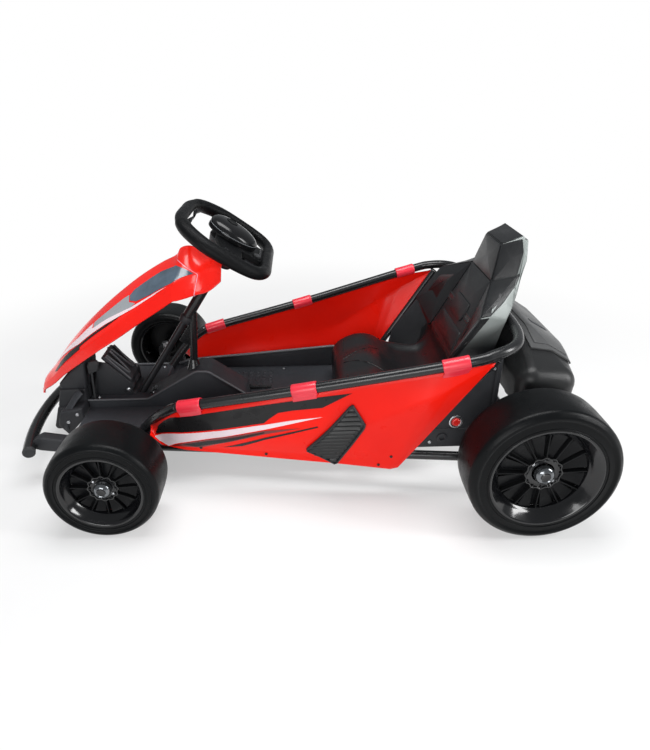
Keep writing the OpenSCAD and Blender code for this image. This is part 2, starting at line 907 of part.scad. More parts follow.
// Rim: barrel, dished disc with ribs, and hub; z = 0 is the middle of the tyre, +z its outer face
module rim(barrel_r, hub_r, dish) {
    half = tyre_w / 2;
    lip = barrel_r - 1;
    disc_z = half - dish;
    difference() {
        union() {
            rotate_extrude($fn = 72)
                polygon([[lip - 4, 8 - half], [lip, 8 - half], [lip, half - 4], [lip + 2, half - 2],
                         [lip - 3, half - 2], [lip - 9, disc_z + 6], [hub_r + 8, disc_z - 4],
                         [hub_r + 8, disc_z - 8], [lip - 10, disc_z], [lip - 4, disc_z - 8]]);
            translate([0, 0, disc_z - 9])
                cylinder(h = 5, r = hub_r + 9);
            for (k = [0:spokes - 1])
                rotate([0, 0, 360 * k / spokes])
                    rotate([90, 0, 0])
                        linear_extrude(3, center = true)
                            polygon([[hub_r - 2, disc_z - 6], [lip - 9, disc_z - 1], [lip - 9, disc_z + 6],
                                     [hub_r - 2, disc_z + 3]]);
            translate([0, 0, -half + 14])
                cylinder(h = half - 14 + disc_z + 5, r = hub_r);
        }
        translate([0, 0, -60])
            cylinder(h = 200, r = shaft_d / 2 + fit);
    }
}

module front_wheel(left) {
    color("#0c0d0e")
        on_axle([front_axle_x, front_wheel_y, front_r], left)
            rim(81, 20, front_dish);
}

module rear_wheel(left) {
    color("#0c0d0e")
        on_axle([rear_axle_x, rear_wheel_y, rear_r], left)
            rim(109, 27, rear_dish);
}

module tyre(r, bore) {
    half = tyre_w / 2;
    rotate_extrude($fn = 96)
        polygon([[bore, 8 - half], [bore + 5, -half], [r - 6, -half], [r - 1.6, 3 - half], [r, 9 - half],
                 [r, half - 9], [r - 1.6, half - 3], [r - 6, half], [bore + 5, half], [bore + 2.4, half - 2],
                 [bore + 2.4, half - 5], [bore, half - 6]]);
}

module front_tyre(left) {
    color("#2a2b2d")
        on_axle([front_axle_x, front_wheel_y, front_r], left)
            tyre(front_r, 80.4);
}

module rear_tyre(left) {
    color("#2a2b2d")
        on_axle([rear_axle_x, rear_wheel_y, rear_r], left)
            tyre(rear_r, 108.4);
}

// Domed cap over the end of a shaft
module hub_cap(r) {
    rotate_extrude()
        polygon([[0, 5], [r - 5, 5], [r - 5, 0], [r, 0], [r, 4], [r * 0.86, 8], [r * 0.5, 11], [0, 12]]);
}

module front_cap(left) {
    color("#3a3d40")
        on_axle([front_axle_x, front_wheel_y + tyre_w / 2 - front_dish + 5.2, front_r], left)
            hub_cap(17);
}

module rear_cap(left) {
    color("#3a3d40")
        on_axle([rear_axle_x, rear_wheel_y + tyre_w / 2 - rear_dish + 5.2, rear_r], left)
            hub_cap(19);
}

upper_hoop();
lower_rails();
rear_braces();
mid_cross_tube();
rear_cross_tube();
axle_plates();
front_beam();
front_yokes();
bumper_tube();
bumper_caps();
bumper_brackets();
floor_pan();
nose_cover();
fairing();
fairing_support();
column_hood();
side_panel(true);  // side_panel_left
side_panel(false);  // side_panel_right
panel_clips();
panel_vents();
seat_back();
seat_base();
seat_bracket();
rear_cover();
cover_lid();
battery();
controller();
gearboxes();
drive_motors();
rear_axle();
side_plates();
power_button();
power_bezel();
charge_socket();
column_sleeve();
column_post();
steering_column();
steering_rim();
steering_pad();
horn_button();
knuckle(true);  // steering_knuckle_left
knuckle(false);  // steering_knuckle_right
kingpins();
tie_rod();
pedal_box();
pedal();
front_wheel(true);  // front_wheel_left
front_wheel(false);  // front_wheel_right
rear_wheel(true);  // rear_wheel_left
rear_wheel(false);  // rear_wheel_right
front_tyre(true);  // front_tyre_left
front_tyre(false);  // front_tyre_right
rear_tyre(true);  // rear_tyre_left
rear_tyre(false);  // rear_tyre_right
front_cap(true);  // hub_cap_front_left
front_cap(false);  // hub_cap_front_right
rear_cap(true);  // hub_cap_rear_left
rear_cap(false);  // hub_cap_rear_right
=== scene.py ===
import json
import math
import bmesh
import bpy
from mathutils import Matrix, Vector


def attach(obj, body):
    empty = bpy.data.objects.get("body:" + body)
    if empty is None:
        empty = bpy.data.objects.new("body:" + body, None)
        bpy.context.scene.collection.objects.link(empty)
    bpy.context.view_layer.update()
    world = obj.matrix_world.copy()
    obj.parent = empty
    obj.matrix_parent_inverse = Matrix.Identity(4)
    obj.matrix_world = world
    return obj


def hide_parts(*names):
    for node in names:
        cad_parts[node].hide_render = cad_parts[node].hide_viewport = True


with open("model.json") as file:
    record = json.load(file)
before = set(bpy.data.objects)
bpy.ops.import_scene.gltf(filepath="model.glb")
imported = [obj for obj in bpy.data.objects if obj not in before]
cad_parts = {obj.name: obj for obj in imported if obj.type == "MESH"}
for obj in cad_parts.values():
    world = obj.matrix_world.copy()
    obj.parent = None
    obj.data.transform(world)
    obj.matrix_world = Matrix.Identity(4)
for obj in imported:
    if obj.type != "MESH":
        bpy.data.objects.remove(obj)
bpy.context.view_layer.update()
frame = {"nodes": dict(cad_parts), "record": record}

MM = 0.001
SIDES = ((1, "left"), (-1, "right"))

# --- Measures that repeat part.scad, in millimetres -----------------------------------------------
FRONT_AXLE = (367, 109.5)
REAR_AXLE = (-473, 147)
TYRE_W = 104
FRONT_Y = 322.5
REAR_Y = 364.5
HUB = Vector((125, 0, 497))
LEAN = math.radians(33.5)
HOOP = [(348, 127, 76), (342, 136, 98), (325, 155, 124), (288, 184, 166), (246, 203, 196), (216, 211, 204),
    (-25, 247, 257), (-320, 292, 330), (-385, 290, 346), (-432, 264, 352), (-456, 215, 352),
    (-468, 140, 350), (-470, 0, 350)]


# --- Small mathematics ----------------------------------------------------------------------------
def lerp(a, b, t):
    return a + (b - a) * t


def lookup(x, table):
    """Straight-line interpolation in a table of (x, value) with rising x."""
    if x <= table[0][0]:
        return table[0][1]
    for (x0, v0), (x1, v1) in zip(table, table[1:]):
        if x <= x1:
            return lerp(v0, v1, (x - x0) / (x1 - x0))
    return table[-1][1]


def smoothstep(a, b, x):
    t = max(0.0, min(1.0, (x - a) / (b - a)))
    return t * t * (3 - 2 * t)


def catmull(rows, t):
    """A point on the smooth curve through rows of numbers, t counted in spans."""
    i = max(0, min(int(math.floor(t)), len(rows) - 2))
    u = t - i
    a, b, c, d = (rows[max(0, min(len(rows) - 1, i + k))] for k in (-1, 0, 1, 2))
    return [0.5 * (2 * q + (r - p) * u + (2 * p - 5 * q + 4 * r - s) * u * u + (3 * q - p - 3 * r + s) * u **
        3) for p, q, r, s in zip(a, b, c, d)]


def curve(rows, steps):
    n = (len(rows) - 1) * steps
    return [Vector(catmull(rows, k / steps)) for k in range(n + 1)]


def flip(v):
    return Vector((v[0], -v[1], v[2]))


# --- Shapes: a shape is a list of points and a list of faces --------------------------------------
def join(*shapes):
    points, faces = [], []
    for p, f in shapes:
        base = len(points)
        points += [Vector(v) for v in p]
        faces += [[base + i for i in face] for face in f]
    return points, faces


def moved(shape, fn):
    return [fn(Vector(p)) for p in shape[0]], shape[1]


def shifted(shape, x, y, z):
    return [Vector(p) + Vector((x, y, z)) for p in shape[0]], shape[1]


def mirrored(shape):
    return [flip(p) for p in shape[0]], [list(reversed(f)) for f in shape[1]]


def both(*shapes):
    """The shapes with their mirror images on the other side."""
    shape = join(*shapes)
    return join(shape, mirrored(shape))


def grid(rows, loop_u=False, loop_v=False, caps=False):
    n, m = len(rows), len(rows[0])
    points = [Vector(p) for r in rows for p in r]
    faces = []
    for i in range(n if loop_u else n - 1):
        for j in range(m if loop_v else m - 1):
            a, b = i, (i + 1) % n
            c, d = j, (j + 1) % m
            faces.append([a * m + c, a * m + d, b * m + d, b * m + c])
    if caps:
        faces.append(list(range(m - 1, -1, -1)))
        faces.append([(n - 1) * m + j for j in range(m)])
    return points, faces


def sweep(path, across, up=None, sides=28, closed=False, lift=(0.02, 0.01, 1)):
    """A bar along a path; across is its half-width, up its half-height, both numbers or functions of 0..1."""
    path = [Vector(p) for p in path]
    n = len(path)
    up = across if up is None else up
    rings = []
    for i, c in enumerate(path):
        ahead = path[(i + 1) % n] if closed else path[min(n - 1, i + 1)]
        behind = path[i - 1] if closed else path[max(0, i - 1)]
        t = (ahead - behind).normalized()
        s = t.cross(Vector(lift)).normalized()
        u = s.cross(t)
        f = i / (n - 1)
        ra = across(f) if callable(across) else across
        ru = up(f) if callable(up) else up
        rings.append([c + s * (ra * math.cos(a)) + u * (ru * math.sin(a)) for a in (2 * math.pi * k / sides
            for k in range(sides))])
    return grid(rings, loop_u=closed, loop_v=True, caps=not closed)


def bar(a, b, d, sides=28):
    a, b = Vector(a), Vector(b)
    lift = (1, 0.01, 0.02) if abs((b - a).normalized().z) > 0.9 else (0.02, 0.01, 1)
    return sweep([a, b], d / 2, sides=sides, lift=lift)


def lathe(profile, turns=48, closed=True):
    """A profile of (radius, z) turned round the Z axis; a closed one is a ring's section."""
    rings = [[Vector((r * math.cos(a), r * math.sin(a), z)) for a in (2 * math.pi * k / turns for k in
        range(turns))] for r, z in profile]
    return grid(rings, loop_u=closed, loop_v=True)


def prism(outline, y0, y1):
    """A side outline of (x, z) given a width across the kart."""
    n = len(outline)
    points = [Vector((x, y0, z)) for x, z in outline] + [Vector((x, y1, z)) for x, z in outline]
    faces = [[i, (i + 1) % n, n + (i + 1) % n, n + i] for i in range(n)]
    return points, faces + [list(range(n - 1, -1, -1)), list(range(n, 2 * n))]


def slab(outline, z0, z1):
    """A flat outline of (x, y) given a height."""
    n = len(outline)
    points = [Vector((x, y, z0)) for x, y in outline] + [Vector((x, y, z1)) for x, y in outline]
    faces = [[i, (i + 1) % n, n + (i + 1) % n, n + i] for i in range(n)]
    return points, faces + [list(range(n - 1, -1, -1)), list(range(n, 2 * n))]


def box(lo, hi):
    return prism([(lo[0], lo[2]), (hi[0], lo[2]), (hi[0], hi[2]), (lo[0], hi[2])], lo[1], hi[1])


def dome(r, h, turns=24, rings=6, foot=0.0):
    """A rounded button on the XY plane."""
    profile = [(0, -foot), (r, -foot)]
    profile += [(r * math.cos(a), h * math.sin(a)) for a in (math.pi / 2 * k / rings for k in range(rings))]
    profile += [(0, h)]
    return lathe(profile, turns, closed=False)


def aimed(shape, at, direction):
    """Turns a shape built on the Z axis to look along a direction."""
    turn = Vector((0, 0, 1)).rotation_difference(Vector(direction)).to_matrix()
    return moved(shape, lambda v: turn @ v + Vector(at))


def on_axle(shape, axle, y, side):
    return moved(shape, lambda v: Vector((axle[0] + v.x, side * (y + v.z), axle[1] + v.y)))


def on_column(shape, back=0.0):
    c, s = math.cos(LEAN), math.sin(LEAN)
    return moved(shape, lambda v: Vector((HUB.x + v.x * c - (v.z - back) * s, v.y,
        HUB.z + v.x * s + (v.z - back) * c)))


def chamfer_loop(corners, cut, steps=3):
    """Rounds the corners of a flat or bent outline."""
    out = []
    n = len(corners)
    for i in range(n):
        p, a, b = Vector(corners[i]), Vector(corners[i - 1]), Vector(corners[(i + 1) % n])
        ta = p + (a - p).normalized() * min(cut, (a - p).length * 0.45)
        tb = p + (b - p).normalized() * min(cut, (b - p).length * 0.45)
        for k in range(steps + 1):
            t = k / steps
            out.append(ta * (1 - t) ** 2 + p * (2 * t * (1 - t)) + tb * t * t)
    return out


def pad(corners, thick, inset=1.6, drop=2.0, cut=5.0):
    """A moulded pad on a bent face: the face's outline drawn in a little, and raised."""
    corners = [Vector(c) for c in corners]
    n = len(corners)
    mid = sum(corners, Vector()) / n
    normal = Vector()
    for i in range(n):
        normal += (corners[i] - mid).cross(corners[(i + 1) % n] - mid)
    normal.normalize()
    drawn = []
    for i in range(n):
        p, a, b = corners[i], corners[i - 1], corners[(i + 1) % n]
        ea, eb = (a - p).normalized(), (b - p).normalized()
        drawn.append(p + (ea + eb) * inset / max(0.35, ea.cross(eb).length))
    loop = chamfer_loop(drawn, cut)
    low = [v - normal * drop for v in loop]
    high = [v + normal * thick for v in loop]
    m = len(loop)
    points = low + high + [mid + normal * thick, mid - normal * drop]
    faces = [[i, (i + 1) % m, m + (i + 1) % m, m + i] for i in range(m)]
    faces += [[m + i, m + (i + 1) % m, 2 * m] for i in range(m)]
    faces += [[(i + 1) % m, i, 2 * m + 1] for i in range(m)]
    return points, faces


# --- Pieces ---------------------------------------------------------------------------------------
def piece(name, shape, look, body="frame", stands_for=(), bevel=0.0, segments=3, limit=30,
        soften=38, solid=0.0, subsurf=0):
    """Builds a piece with its look, edges and body; its slot is the look's own."""
    mesh = bpy.data.meshes.new(name)
    bm = bmesh.new()
    verts = [bm.verts.new(Vector(p) * MM) for p in shape[0]]
    for face in shape[1]:
        if len(set(face)) == len(face):
            try:
                bm.faces.new([verts[i] for i in face])
            except ValueError:
                pass
    bmesh.ops.remove_doubles(bm, verts=bm.verts, dist=2e-6)
    bmesh.ops.dissolve_degenerate(bm, edges=bm.edges, dist=1e-7)
    bmesh.ops.recalc_face_normals(bm, faces=bm.faces)
    bm.to_mesh(mesh)
    bm.free()
    for p in mesh.polygons:
        p.use_smooth = True
    mesh.materials.append(M[look])
    obj = bpy.data.objects.new(name, mesh)
    bpy.context.scene.collection.objects.link(obj)
    if solid:
        m = obj.modifiers.new("thickness", "SOLIDIFY")
        m.thickness, m.offset, m.use_even_offset = abs(solid) * MM, (-1 if solid > 0 else 1), True
    if bevel:
        m = obj.modifiers.new("edges", "BEVEL")
        m.width, m.segments, m.limit_method = bevel * MM, segments, "ANGLE"
        m.angle_limit, m.miter_outer = math.radians(limit), "MITER_ARC"
    if subsurf:
        m = obj.modifiers.new("smooth", "SUBSURF")
        m.levels = m.render_levels = subsurf
    if not bevel and not subsurf:
        mesh.set_sharp_from_angle(angle=math.radians(soften))
    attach(obj, body)
    if stands_for:
        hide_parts(*stands_for)
    return obj


def patch(outline, surface, lift=0.5, thick=0.3, step=(0.2, 0.1)):
    """A thin film cut to an outline in a surface's own two coordinates and laid on it."""
    bm = bmesh.new()
    bm.faces.new([bm.verts.new((u, v, 0)) for u, v in outline])
    for axis in (0, 1):
        lo = min(p[axis] for p in outline)
        hi = max(p[axis] for p in outline)
        n = int((hi - lo) / step[axis])
        for k in range(1, n + 1):
            co, no = Vector((0, 0, 0)), Vector((0, 0, 0))
            co[axis], no[axis] = lo + (hi - lo) * k / (n + 1), 1
            bmesh.ops.bisect_plane(bm, geom=bm.verts[:] + bm.edges[:] + bm.faces[:], plane_co=co, plane_no=no)
    bmesh.ops.triangulate(bm, faces=bm.faces)
    bm.verts.ensure_lookup_table()
    n = len(bm.verts)
    low = [surface(v.co.x, v.co.y, lift) for v in bm.verts]
    high = [surface(v.co.x, v.co.y, lift + thick) for v in bm.verts]
    faces = [[v.index for v in f.verts] for f in bm.faces]
    rim = [[e.verts[0].index, e.verts[1].index] for e in bm.edges if len(e.link_faces) == 1]
    shape = (low + high, [[n + i for i in f] for f in faces] + [list(reversed(f)) for f in faces] + [[a, b,
        n + b, n + a] for a, b in rim])
    bm.free()
    return shape


# --- Materials ------------------------------------------------------------------------------------
def add(nodes, kind, values=None, **settings):
    """A shader node with its own settings and the values of its sockets."""
    made = nodes.new("ShaderNode" + kind)
    for key, value in settings.items():
        setattr(made, key, value)
    for key, value in (values or {}).items():
        made.inputs[key].default_value = value
    return made


def material(name, color, rough, metallic=0.0, coat=0.0, coat_rough=0.08, grain=900.0, bump=0.04, blotch=9.0,
        spread=0.1, rough_spread=0.07, wear=0.0, cells=False, specular=0.5, stretch=None, tint=None):
    """A moulded, painted or metal surface: varied colour, uneven gloss, fine relief and worn edges."""
    mat = bpy.data.materials.new(name)
    mat.use_nodes = True
    nodes, link = mat.node_tree.nodes, mat.node_tree.links.new
    nodes.clear()
    out = add(nodes, "OutputMaterial")
    bsdf = add(nodes, "BsdfPrincipled", {"Metallic": metallic, "Coat Weight": coat,
        "Coat Roughness": coat_rough, "Specular IOR Level": specular})
    link(bsdf.outputs["BSDF"], out.inputs["Surface"])
    source = add(nodes, "TexCoord").outputs["Object"]
    if stretch:
        mapping = add(nodes, "Mapping", {"Scale": stretch})
        link(source, mapping.inputs["Vector"])
        source = mapping.outputs["Vector"]
    broad = add(nodes, "TexNoise", {"Scale": blotch, "Detail": 5.0, "Roughness": 0.6})
    link(source, broad.inputs["Vector"])
    ramp = add(nodes, "ValToRGB")
    low, high = ramp.color_ramp.elements
    low.position, high.position = 0.3, 0.7
    low.color = (*[c * (1 - spread) for c in color], 1)
    high.color = (*[min(1, c * (1 + spread)) for c in tint or color], 1)
    link(broad.outputs["Fac"], ramp.inputs["Fac"])
    tone = ramp.outputs["Color"]
    if wear:
        edge = add(nodes, "MapRange", {"From Min": 0.51, "From Max": 0.6, "To Min": 0.0, "To Max": wear})
        link(add(nodes, "NewGeometry").outputs["Pointiness"], edge.inputs["Value"])
        mix = add(nodes, "Mix", {"B": (*[min(1, c * 2.2 + 0.05) for c in color], 1)}, data_type="RGBA")
        link(edge.outputs["Result"], mix.inputs["Factor"])
        link(tone, mix.inputs["A"])
        tone = mix.outputs["Result"]
    link(tone, bsdf.inputs["Base Color"])
    patchy = add(nodes, "TexNoise", {"Scale": blotch * 3.7, "Detail": 4.0})
    link(source, patchy.inputs["Vector"])
    gloss = add(nodes, "MapRange", {"From Min": 0.3, "From Max": 0.7,
        "To Min": max(0.02, rough - rough_spread), "To Max": rough + rough_spread})
    link(patchy.outputs["Fac"], gloss.inputs["Value"])
    link(gloss.outputs["Result"], bsdf.inputs["Roughness"])
    if bump:
        if cells:
            fine = add(nodes, "TexVoronoi", {"Scale": grain})
        else:
            fine = add(nodes, "TexNoise", {"Scale": grain, "Detail": 3.0})
        link(source, fine.inputs["Vector"])
        relief = add(nodes, "Bump", {"Strength": min(1.0, bump * 5), "Distance": 0.0004})
        link(fine.outputs["Distance" if cells else "Fac"], relief.inputs["Height"])
        link(relief.outputs["Normal"], bsdf.inputs["Normal"])
    return mat


LOOKS = {
    "frame_steel": dict(color=(0.008, 0.0085, 0.0095), rough=0.27, coat=0.3, coat_rough=0.2, grain=1400,
        bump=0.03, wear=0.1, specular=0.35),
    "end_rubber": dict(color=(0.032, 0.033, 0.035), rough=0.62, grain=1800, bump=0.08, wear=0.1,
        specular=0.25),
    "black_plastic": dict(color=(0.020, 0.021, 0.024), rough=0.47, grain=2300, bump=0.07, cells=True,
        wear=0.16, blotch=14, specular=0.28),
    "deck_plastic": dict(color=(0.030, 0.032, 0.037), rough=0.5, grain=1900, bump=0.09, cells=True,
        wear=0.25, blotch=11, spread=0.16, specular=0.26),
    # A lighter copy of the deck plastic for beads, rolled edges and the pedal's V walls: a painted highlight
    # on edges that catch the light.
    "highlight_edge_plastic": dict(color=(0.075, 0.078, 0.085), rough=0.36, grain=1700, bump=0.05, cells=True,
        wear=0.2, specular=0.4),
    "seat_plastic": dict(color=(0.009, 0.0098, 0.011), rough=0.34, grain=2600, bump=0.04, cells=True,
        wear=0.15, blotch=7, spread=0.15, specular=0.34),
    "cover_plastic": dict(color=(0.013, 0.0135, 0.014), rough=0.33, grain=2400, bump=0.04, cells=True,
        wear=0.14, blotch=6, specular=0.34),
    "red_gloss": dict(color=(0.84, 0.008, 0.003), rough=0.24, coat=0.4, coat_rough=0.07, grain=320,
        bump=0.012, spread=0.04, blotch=5, tint=(0.88, 0.012, 0.004), specular=0.25),
    "red_panel": dict(color=(0.84, 0.008, 0.003), rough=0.34, coat=0.06, coat_rough=0.12, grain=260,
        bump=0.018, spread=0.04, blotch=4, tint=(0.88, 0.012, 0.004), specular=0.14),
    "clip_red": dict(color=(0.74, 0.022, 0.045), rough=0.36, coat=0.25, coat_rough=0.2, grain=700, bump=0.03,
        spread=0.08, blotch=30),
    "grip_black": dict(color=(0.0036, 0.0039, 0.0044), rough=0.38, grain=1250, bump=0.1, cells=True,
        wear=0.05, blotch=22, spread=0.14, specular=0.1),
    "pad_gloss": dict(color=(0.006, 0.0062, 0.007), rough=0.2, coat=0.15, coat_rough=0.1, grain=900,
        bump=0.01, specular=0.25),
    "raw_steel": dict(color=(0.58, 0.59, 0.61), rough=0.3, metallic=1.0, grain=1500, bump=0.04,
        stretch=(1, 1, 6), blotch=30),
    "dark_steel": dict(color=(0.03, 0.031, 0.034), rough=0.36, metallic=0.6, grain=1200, bump=0.05,
        wear=0.3),
    "battery_case": dict(color=(0.05, 0.053, 0.06), rough=0.55, grain=1300, bump=0.06, wear=0.1),
    "controller_case": dict(color=(0.52, 0.53, 0.55), rough=0.38, metallic=1.0, grain=900, bump=0.05,
        stretch=(8, 1, 1)),
    "button_red": dict(color=(0.62, 0.02, 0.015), rough=0.22, coat=0.5, grain=600, bump=0.01),
    "rim_black": dict(color=(0.004, 0.0042, 0.005), rough=0.17, coat=0.3, coat_rough=0.06, grain=700,
        bump=0.01, wear=0.12, specular=0.4),
    "disc_black": dict(color=(0.004, 0.0043, 0.005), rough=0.34, grain=1800, bump=0.05, wear=0.2,
        specular=0.14),
    "tyre_black": dict(color=(0.0038, 0.0043, 0.0048), rough=0.34, grain=1600, bump=0.06, blotch=13,
        spread=0.2, rough_spread=0.08, specular=0.12),
    "cap_grey": dict(color=(0.16, 0.17, 0.18), rough=0.14, metallic=0.85, coat=0.5, grain=500, bump=0.01),
    "lid_plastic": dict(color=(0.066, 0.067, 0.068), rough=0.36, grain=2400, bump=0.04, cells=True,
        wear=0.14, blotch=6, specular=0.36),
    # Black film: print on the fairing and panels, and also painted shade in the seat's seams and belt slots
    # and in the pedal's V slots.
    "film_black": dict(color=(0.009, 0.0085, 0.009), rough=0.28, coat=0.2, coat_rough=0.1, bump=0.01,
        specular=0.2),
    "film_white": dict(color=(0.80, 0.66, 0.70), rough=0.3, coat=0.4, coat_rough=0.1, bump=0.01,
        spread=0.05),
    "film_pink": dict(color=(0.78, 0.42, 0.55), rough=0.3, coat=0.4, coat_rough=0.1, bump=0.01, spread=0.07),
    "film_grey": dict(color=(0.30, 0.32, 0.34), rough=0.3, coat=0.4, coat_rough=0.1, bump=0.01),
    "film_blue": dict(color=(0.075, 0.11, 0.15), rough=0.2, coat=0.6, coat_rough=0.06, bump=0.01, blotch=20,
        spread=0.3),
    "film_dark_red": dict(color=(0.16, 0.006, 0.006), rough=0.3, coat=0.4, coat_rough=0.1, bump=0.01),
    # The seat plastic again, for the seat shell only: it carries a painted highlight on its upper sideways
    # faces.
    "seat_shell": dict(color=(0.009, 0.0098, 0.011), rough=0.34, grain=2600, bump=0.04, cells=True,
        wear=0.15, blotch=7, spread=0.15, specular=0.34),
}
M = {name: material(name, **look) for name, look in LOOKS.items()}


def paint_side_highlight(mat, color, low, high):
    """Paints a highlight into the base colour: the faces that look sideways are lightened, more and more from
    one height to another.
    """
    nodes, link = mat.node_tree.nodes, mat.node_tree.links.new
    base = next(n for n in nodes if n.type == "BSDF_PRINCIPLED").inputs["Base Color"]
    facing = add(nodes, "NewGeometry")
    turned, place = add(nodes, "SeparateXYZ"), add(nodes, "SeparateXYZ")
    link(facing.outputs["True Normal"], turned.inputs[0])
    link(facing.outputs["Position"], place.inputs[0])
    across = add(nodes, "Math", operation="ABSOLUTE")
    link(turned.outputs["Y"], across.inputs[0])
    share = add(nodes, "Math", operation="MULTIPLY")
    for k, (value, first, last) in enumerate(((across.outputs[0], 0.55, 0.75), (place.outputs["Z"], low,
            high))):
        step = add(nodes, "MapRange", {"From Min": first, "From Max": last}, interpolation_type="SMOOTHSTEP")
        link(value, step.inputs["Value"])
        link(step.outputs["Result"], share.inputs[k])
    # the painted highlight's colour, mixed over the base colour by how sideways and how high the face is
    mix = add(nodes, "Mix", {"B": (*color, 1)}, data_type="RGBA")
    link(share.outputs[0], mix.inputs["Factor"])
    link(base.links[0].from_socket, mix.inputs["A"])
    link(mix.outputs["Result"], base)


def dress(node, mat):
    """Gives a CAD node its finished material."""
    obj = frame["nodes"][node]
    if obj.material_slots:
        for s in obj.material_slots:
            s.material = mat
    else:
        obj.data.materials.append(mat)


# Painted highlight: the seat shell's sideways faces between 0.29 and 0.38 m high are lightened towards pale
# grey.
paint_side_highlight(M["seat_shell"], (0.3, 0.33, 0.32), 0.29, 0.38)

for row in frame["record"]["subparts"]:
    dress(row["node"], M[row["material_slot"]])

# --- Camera, floor and light ----------------------------------------------------------------------
camera = bpy.data.cameras.new("camera")
camera.sensor_width = 36
camera.lens = 27.25
camera.shift_y = -0.01227
camera.clip_end = 60
view = bpy.data.objects.new("camera", camera)
bpy.context.scene.collection.objects.link(view)
view.location = (-0.021, 1.239, 0.8175)
PITCH = math.radians(27.09)
YAW = math.radians(-2.59)
looking = Vector((math.sin(YAW) * math.cos(PITCH), -math.cos(YAW) * math.cos(PITCH), -math.sin(PITCH)))
view.rotation_mode = "QUATERNION"
view.rotation_quaternion = looking.to_track_quat("-Z", "Y")
bpy.context.scene.camera = view
bpy.context.scene.view_settings.view_transform = "Standard"

floor_mat = material("floor", (0.8, 0.8, 0.8), 0.75, bump=0.01, grain=60, spread=0.01, specular=0.1)
fade_nodes, fade_link = floor_mat.node_tree.nodes, floor_mat.node_tree.links.new
# Painted light: the floor glows, with an emission share that rises from 0.45 near the kart to full further
# out; this lightens the cast shadows round the kart and turns the far floor plain white.
reach = add(fade_nodes, "VectorMath", operation="LENGTH")
fade_link(add(fade_nodes, "TexCoord").outputs["Object"], reach.inputs[0])
fade = add(fade_nodes, "MapRange", {"From Min": 0.7, "From Max": 1.6, "To Min": 0.45, "To Max": 1.0},
    interpolation_type="SMOOTHSTEP")
fade_link(reach.outputs["Value"], fade.inputs["Value"])
glow = add(fade_nodes, "Emission", {"Color": (1, 1, 1, 1), "Strength": 1.0})
surface = next(n for n in fade_nodes if n.type == "BSDF_PRINCIPLED")
ending = next(n for n in fade_nodes if n.type == "OUTPUT_MATERIAL")
blend = add(fade_nodes, "MixShader")
for k, socket in enumerate((fade.outputs["Result"], surface.outputs["BSDF"], glow.outputs["Emission"])):
    fade_link(socket, blend.inputs[k])
fade_link(blend.outputs["Shader"], ending.inputs["Surface"])
FLOOR = 25
floor_mesh = bpy.data.meshes.new("floor")
floor_mesh.from_pydata([(-FLOOR, -FLOOR, 0), (FLOOR, -FLOOR, 0), (FLOOR, FLOOR, 0), (-FLOOR, FLOOR, 0)], [],
    [(0, 1, 2, 3)])
floor_mesh.materials.append(floor_mat)
floor = bpy.data.objects.new("floor", floor_mesh)
bpy.context.scene.collection.objects.link(floor)

world = bpy.data.worlds.new("studio")
world.use_nodes = True
sky_nodes, sky_link = world.node_tree.nodes, world.node_tree.links.new
ambient = sky_nodes["Background"]
ambient.inputs["Color"].default_value = (0.94, 0.97, 1.0, 1)
ambient.inputs["Strength"].default_value = 0.3
backdrop = add(sky_nodes, "Background", {"Color": (1, 1, 1, 1), "Strength": 1.0})
either = add(sky_nodes, "MixShader")
seen = add(sky_nodes, "LightPath").outputs["Is Camera Ray"]
for k, socket in enumerate((seen, ambient.outputs["Background"], backdrop.outputs["Background"])):
    sky_link(socket, either.inputs[k])
sky_link(either.outputs["Shader"], sky_nodes["World Output"].inputs["Surface"])
bpy.context.scene.world = world


def lamp(name, at, aim, size, power):
    data = bpy.data.lights.new(name, "AREA")
    data.shape = "RECTANGLE"
    data.size, data.size_y, data.energy = size[0], size[1], power
    obj = bpy.data.objects.new(name, data)
    obj.location = at
    obj.rotation_mode = "QUATERNION"
    obj.rotation_quaternion = (Vector(aim) - Vector(at)).to_track_quat("-Z", "Y")
    bpy.context.scene.collection.objects.link(obj)


lamp("top_softbox", (-0.1, 0.1, 2.4), (-0.1, 0, 0), (1.9, 0.9), 46)
lamp("side_softbox", (0.6, 2.7, 1.0), (0, 0.2, 0.2), (1.6, 1.0), 32)
lamp("rear_softbox", (-2.3, 0.9, 1.3), (-0.4, 0.1, 0.3), (0.5, 1.2), 34)

# --- Tube frame -----------------------------------------------------------------------------------
hoop_half = curve(HOOP, 6)
hoop_path = hoop_half + [flip(p) for p in reversed(hoop_half[:-1])]
piece("upper_hoop_tube", sweep(hoop_path, 11), "frame_steel", stands_for=["upper_hoop"], bevel=0.8, limit=60)

bumper_path = [Vector((606.5 - 32 * (k / 24) ** 2, 200 * k / 24, 91)) for k in range(-24, 25)]
piece("bumper_bar", sweep(bumper_path, 13), "frame_steel", stands_for=["bumper_tube"])

cap_profile = [(0, -2), (13.1, -2), (13.4, 0), (13.4, 3.4), (12.2, 5.4), (9.8, 6.6), (8.8, 6.2), (0, 6.2)]
bumper_ends = join(*[aimed(lathe(cap_profile, 40, closed=False), (574.3, s * 200.4, 91),
    (-0.3, s * 0.954, 0)) for s, _ in SIDES])
piece("bumper_end_caps", bumper_ends, "end_rubber", stands_for=["bumper_caps"])

bracket_side = [(492, 68), (560, 78), (577, 84), (582, 91), (578, 99), (556, 112), (492, 100)]
piece("bumper_bracket_blocks", both(prism(bracket_side, 152, 180)), "black_plastic",
    stands_for=["bumper_brackets"], bevel=6, segments=5)

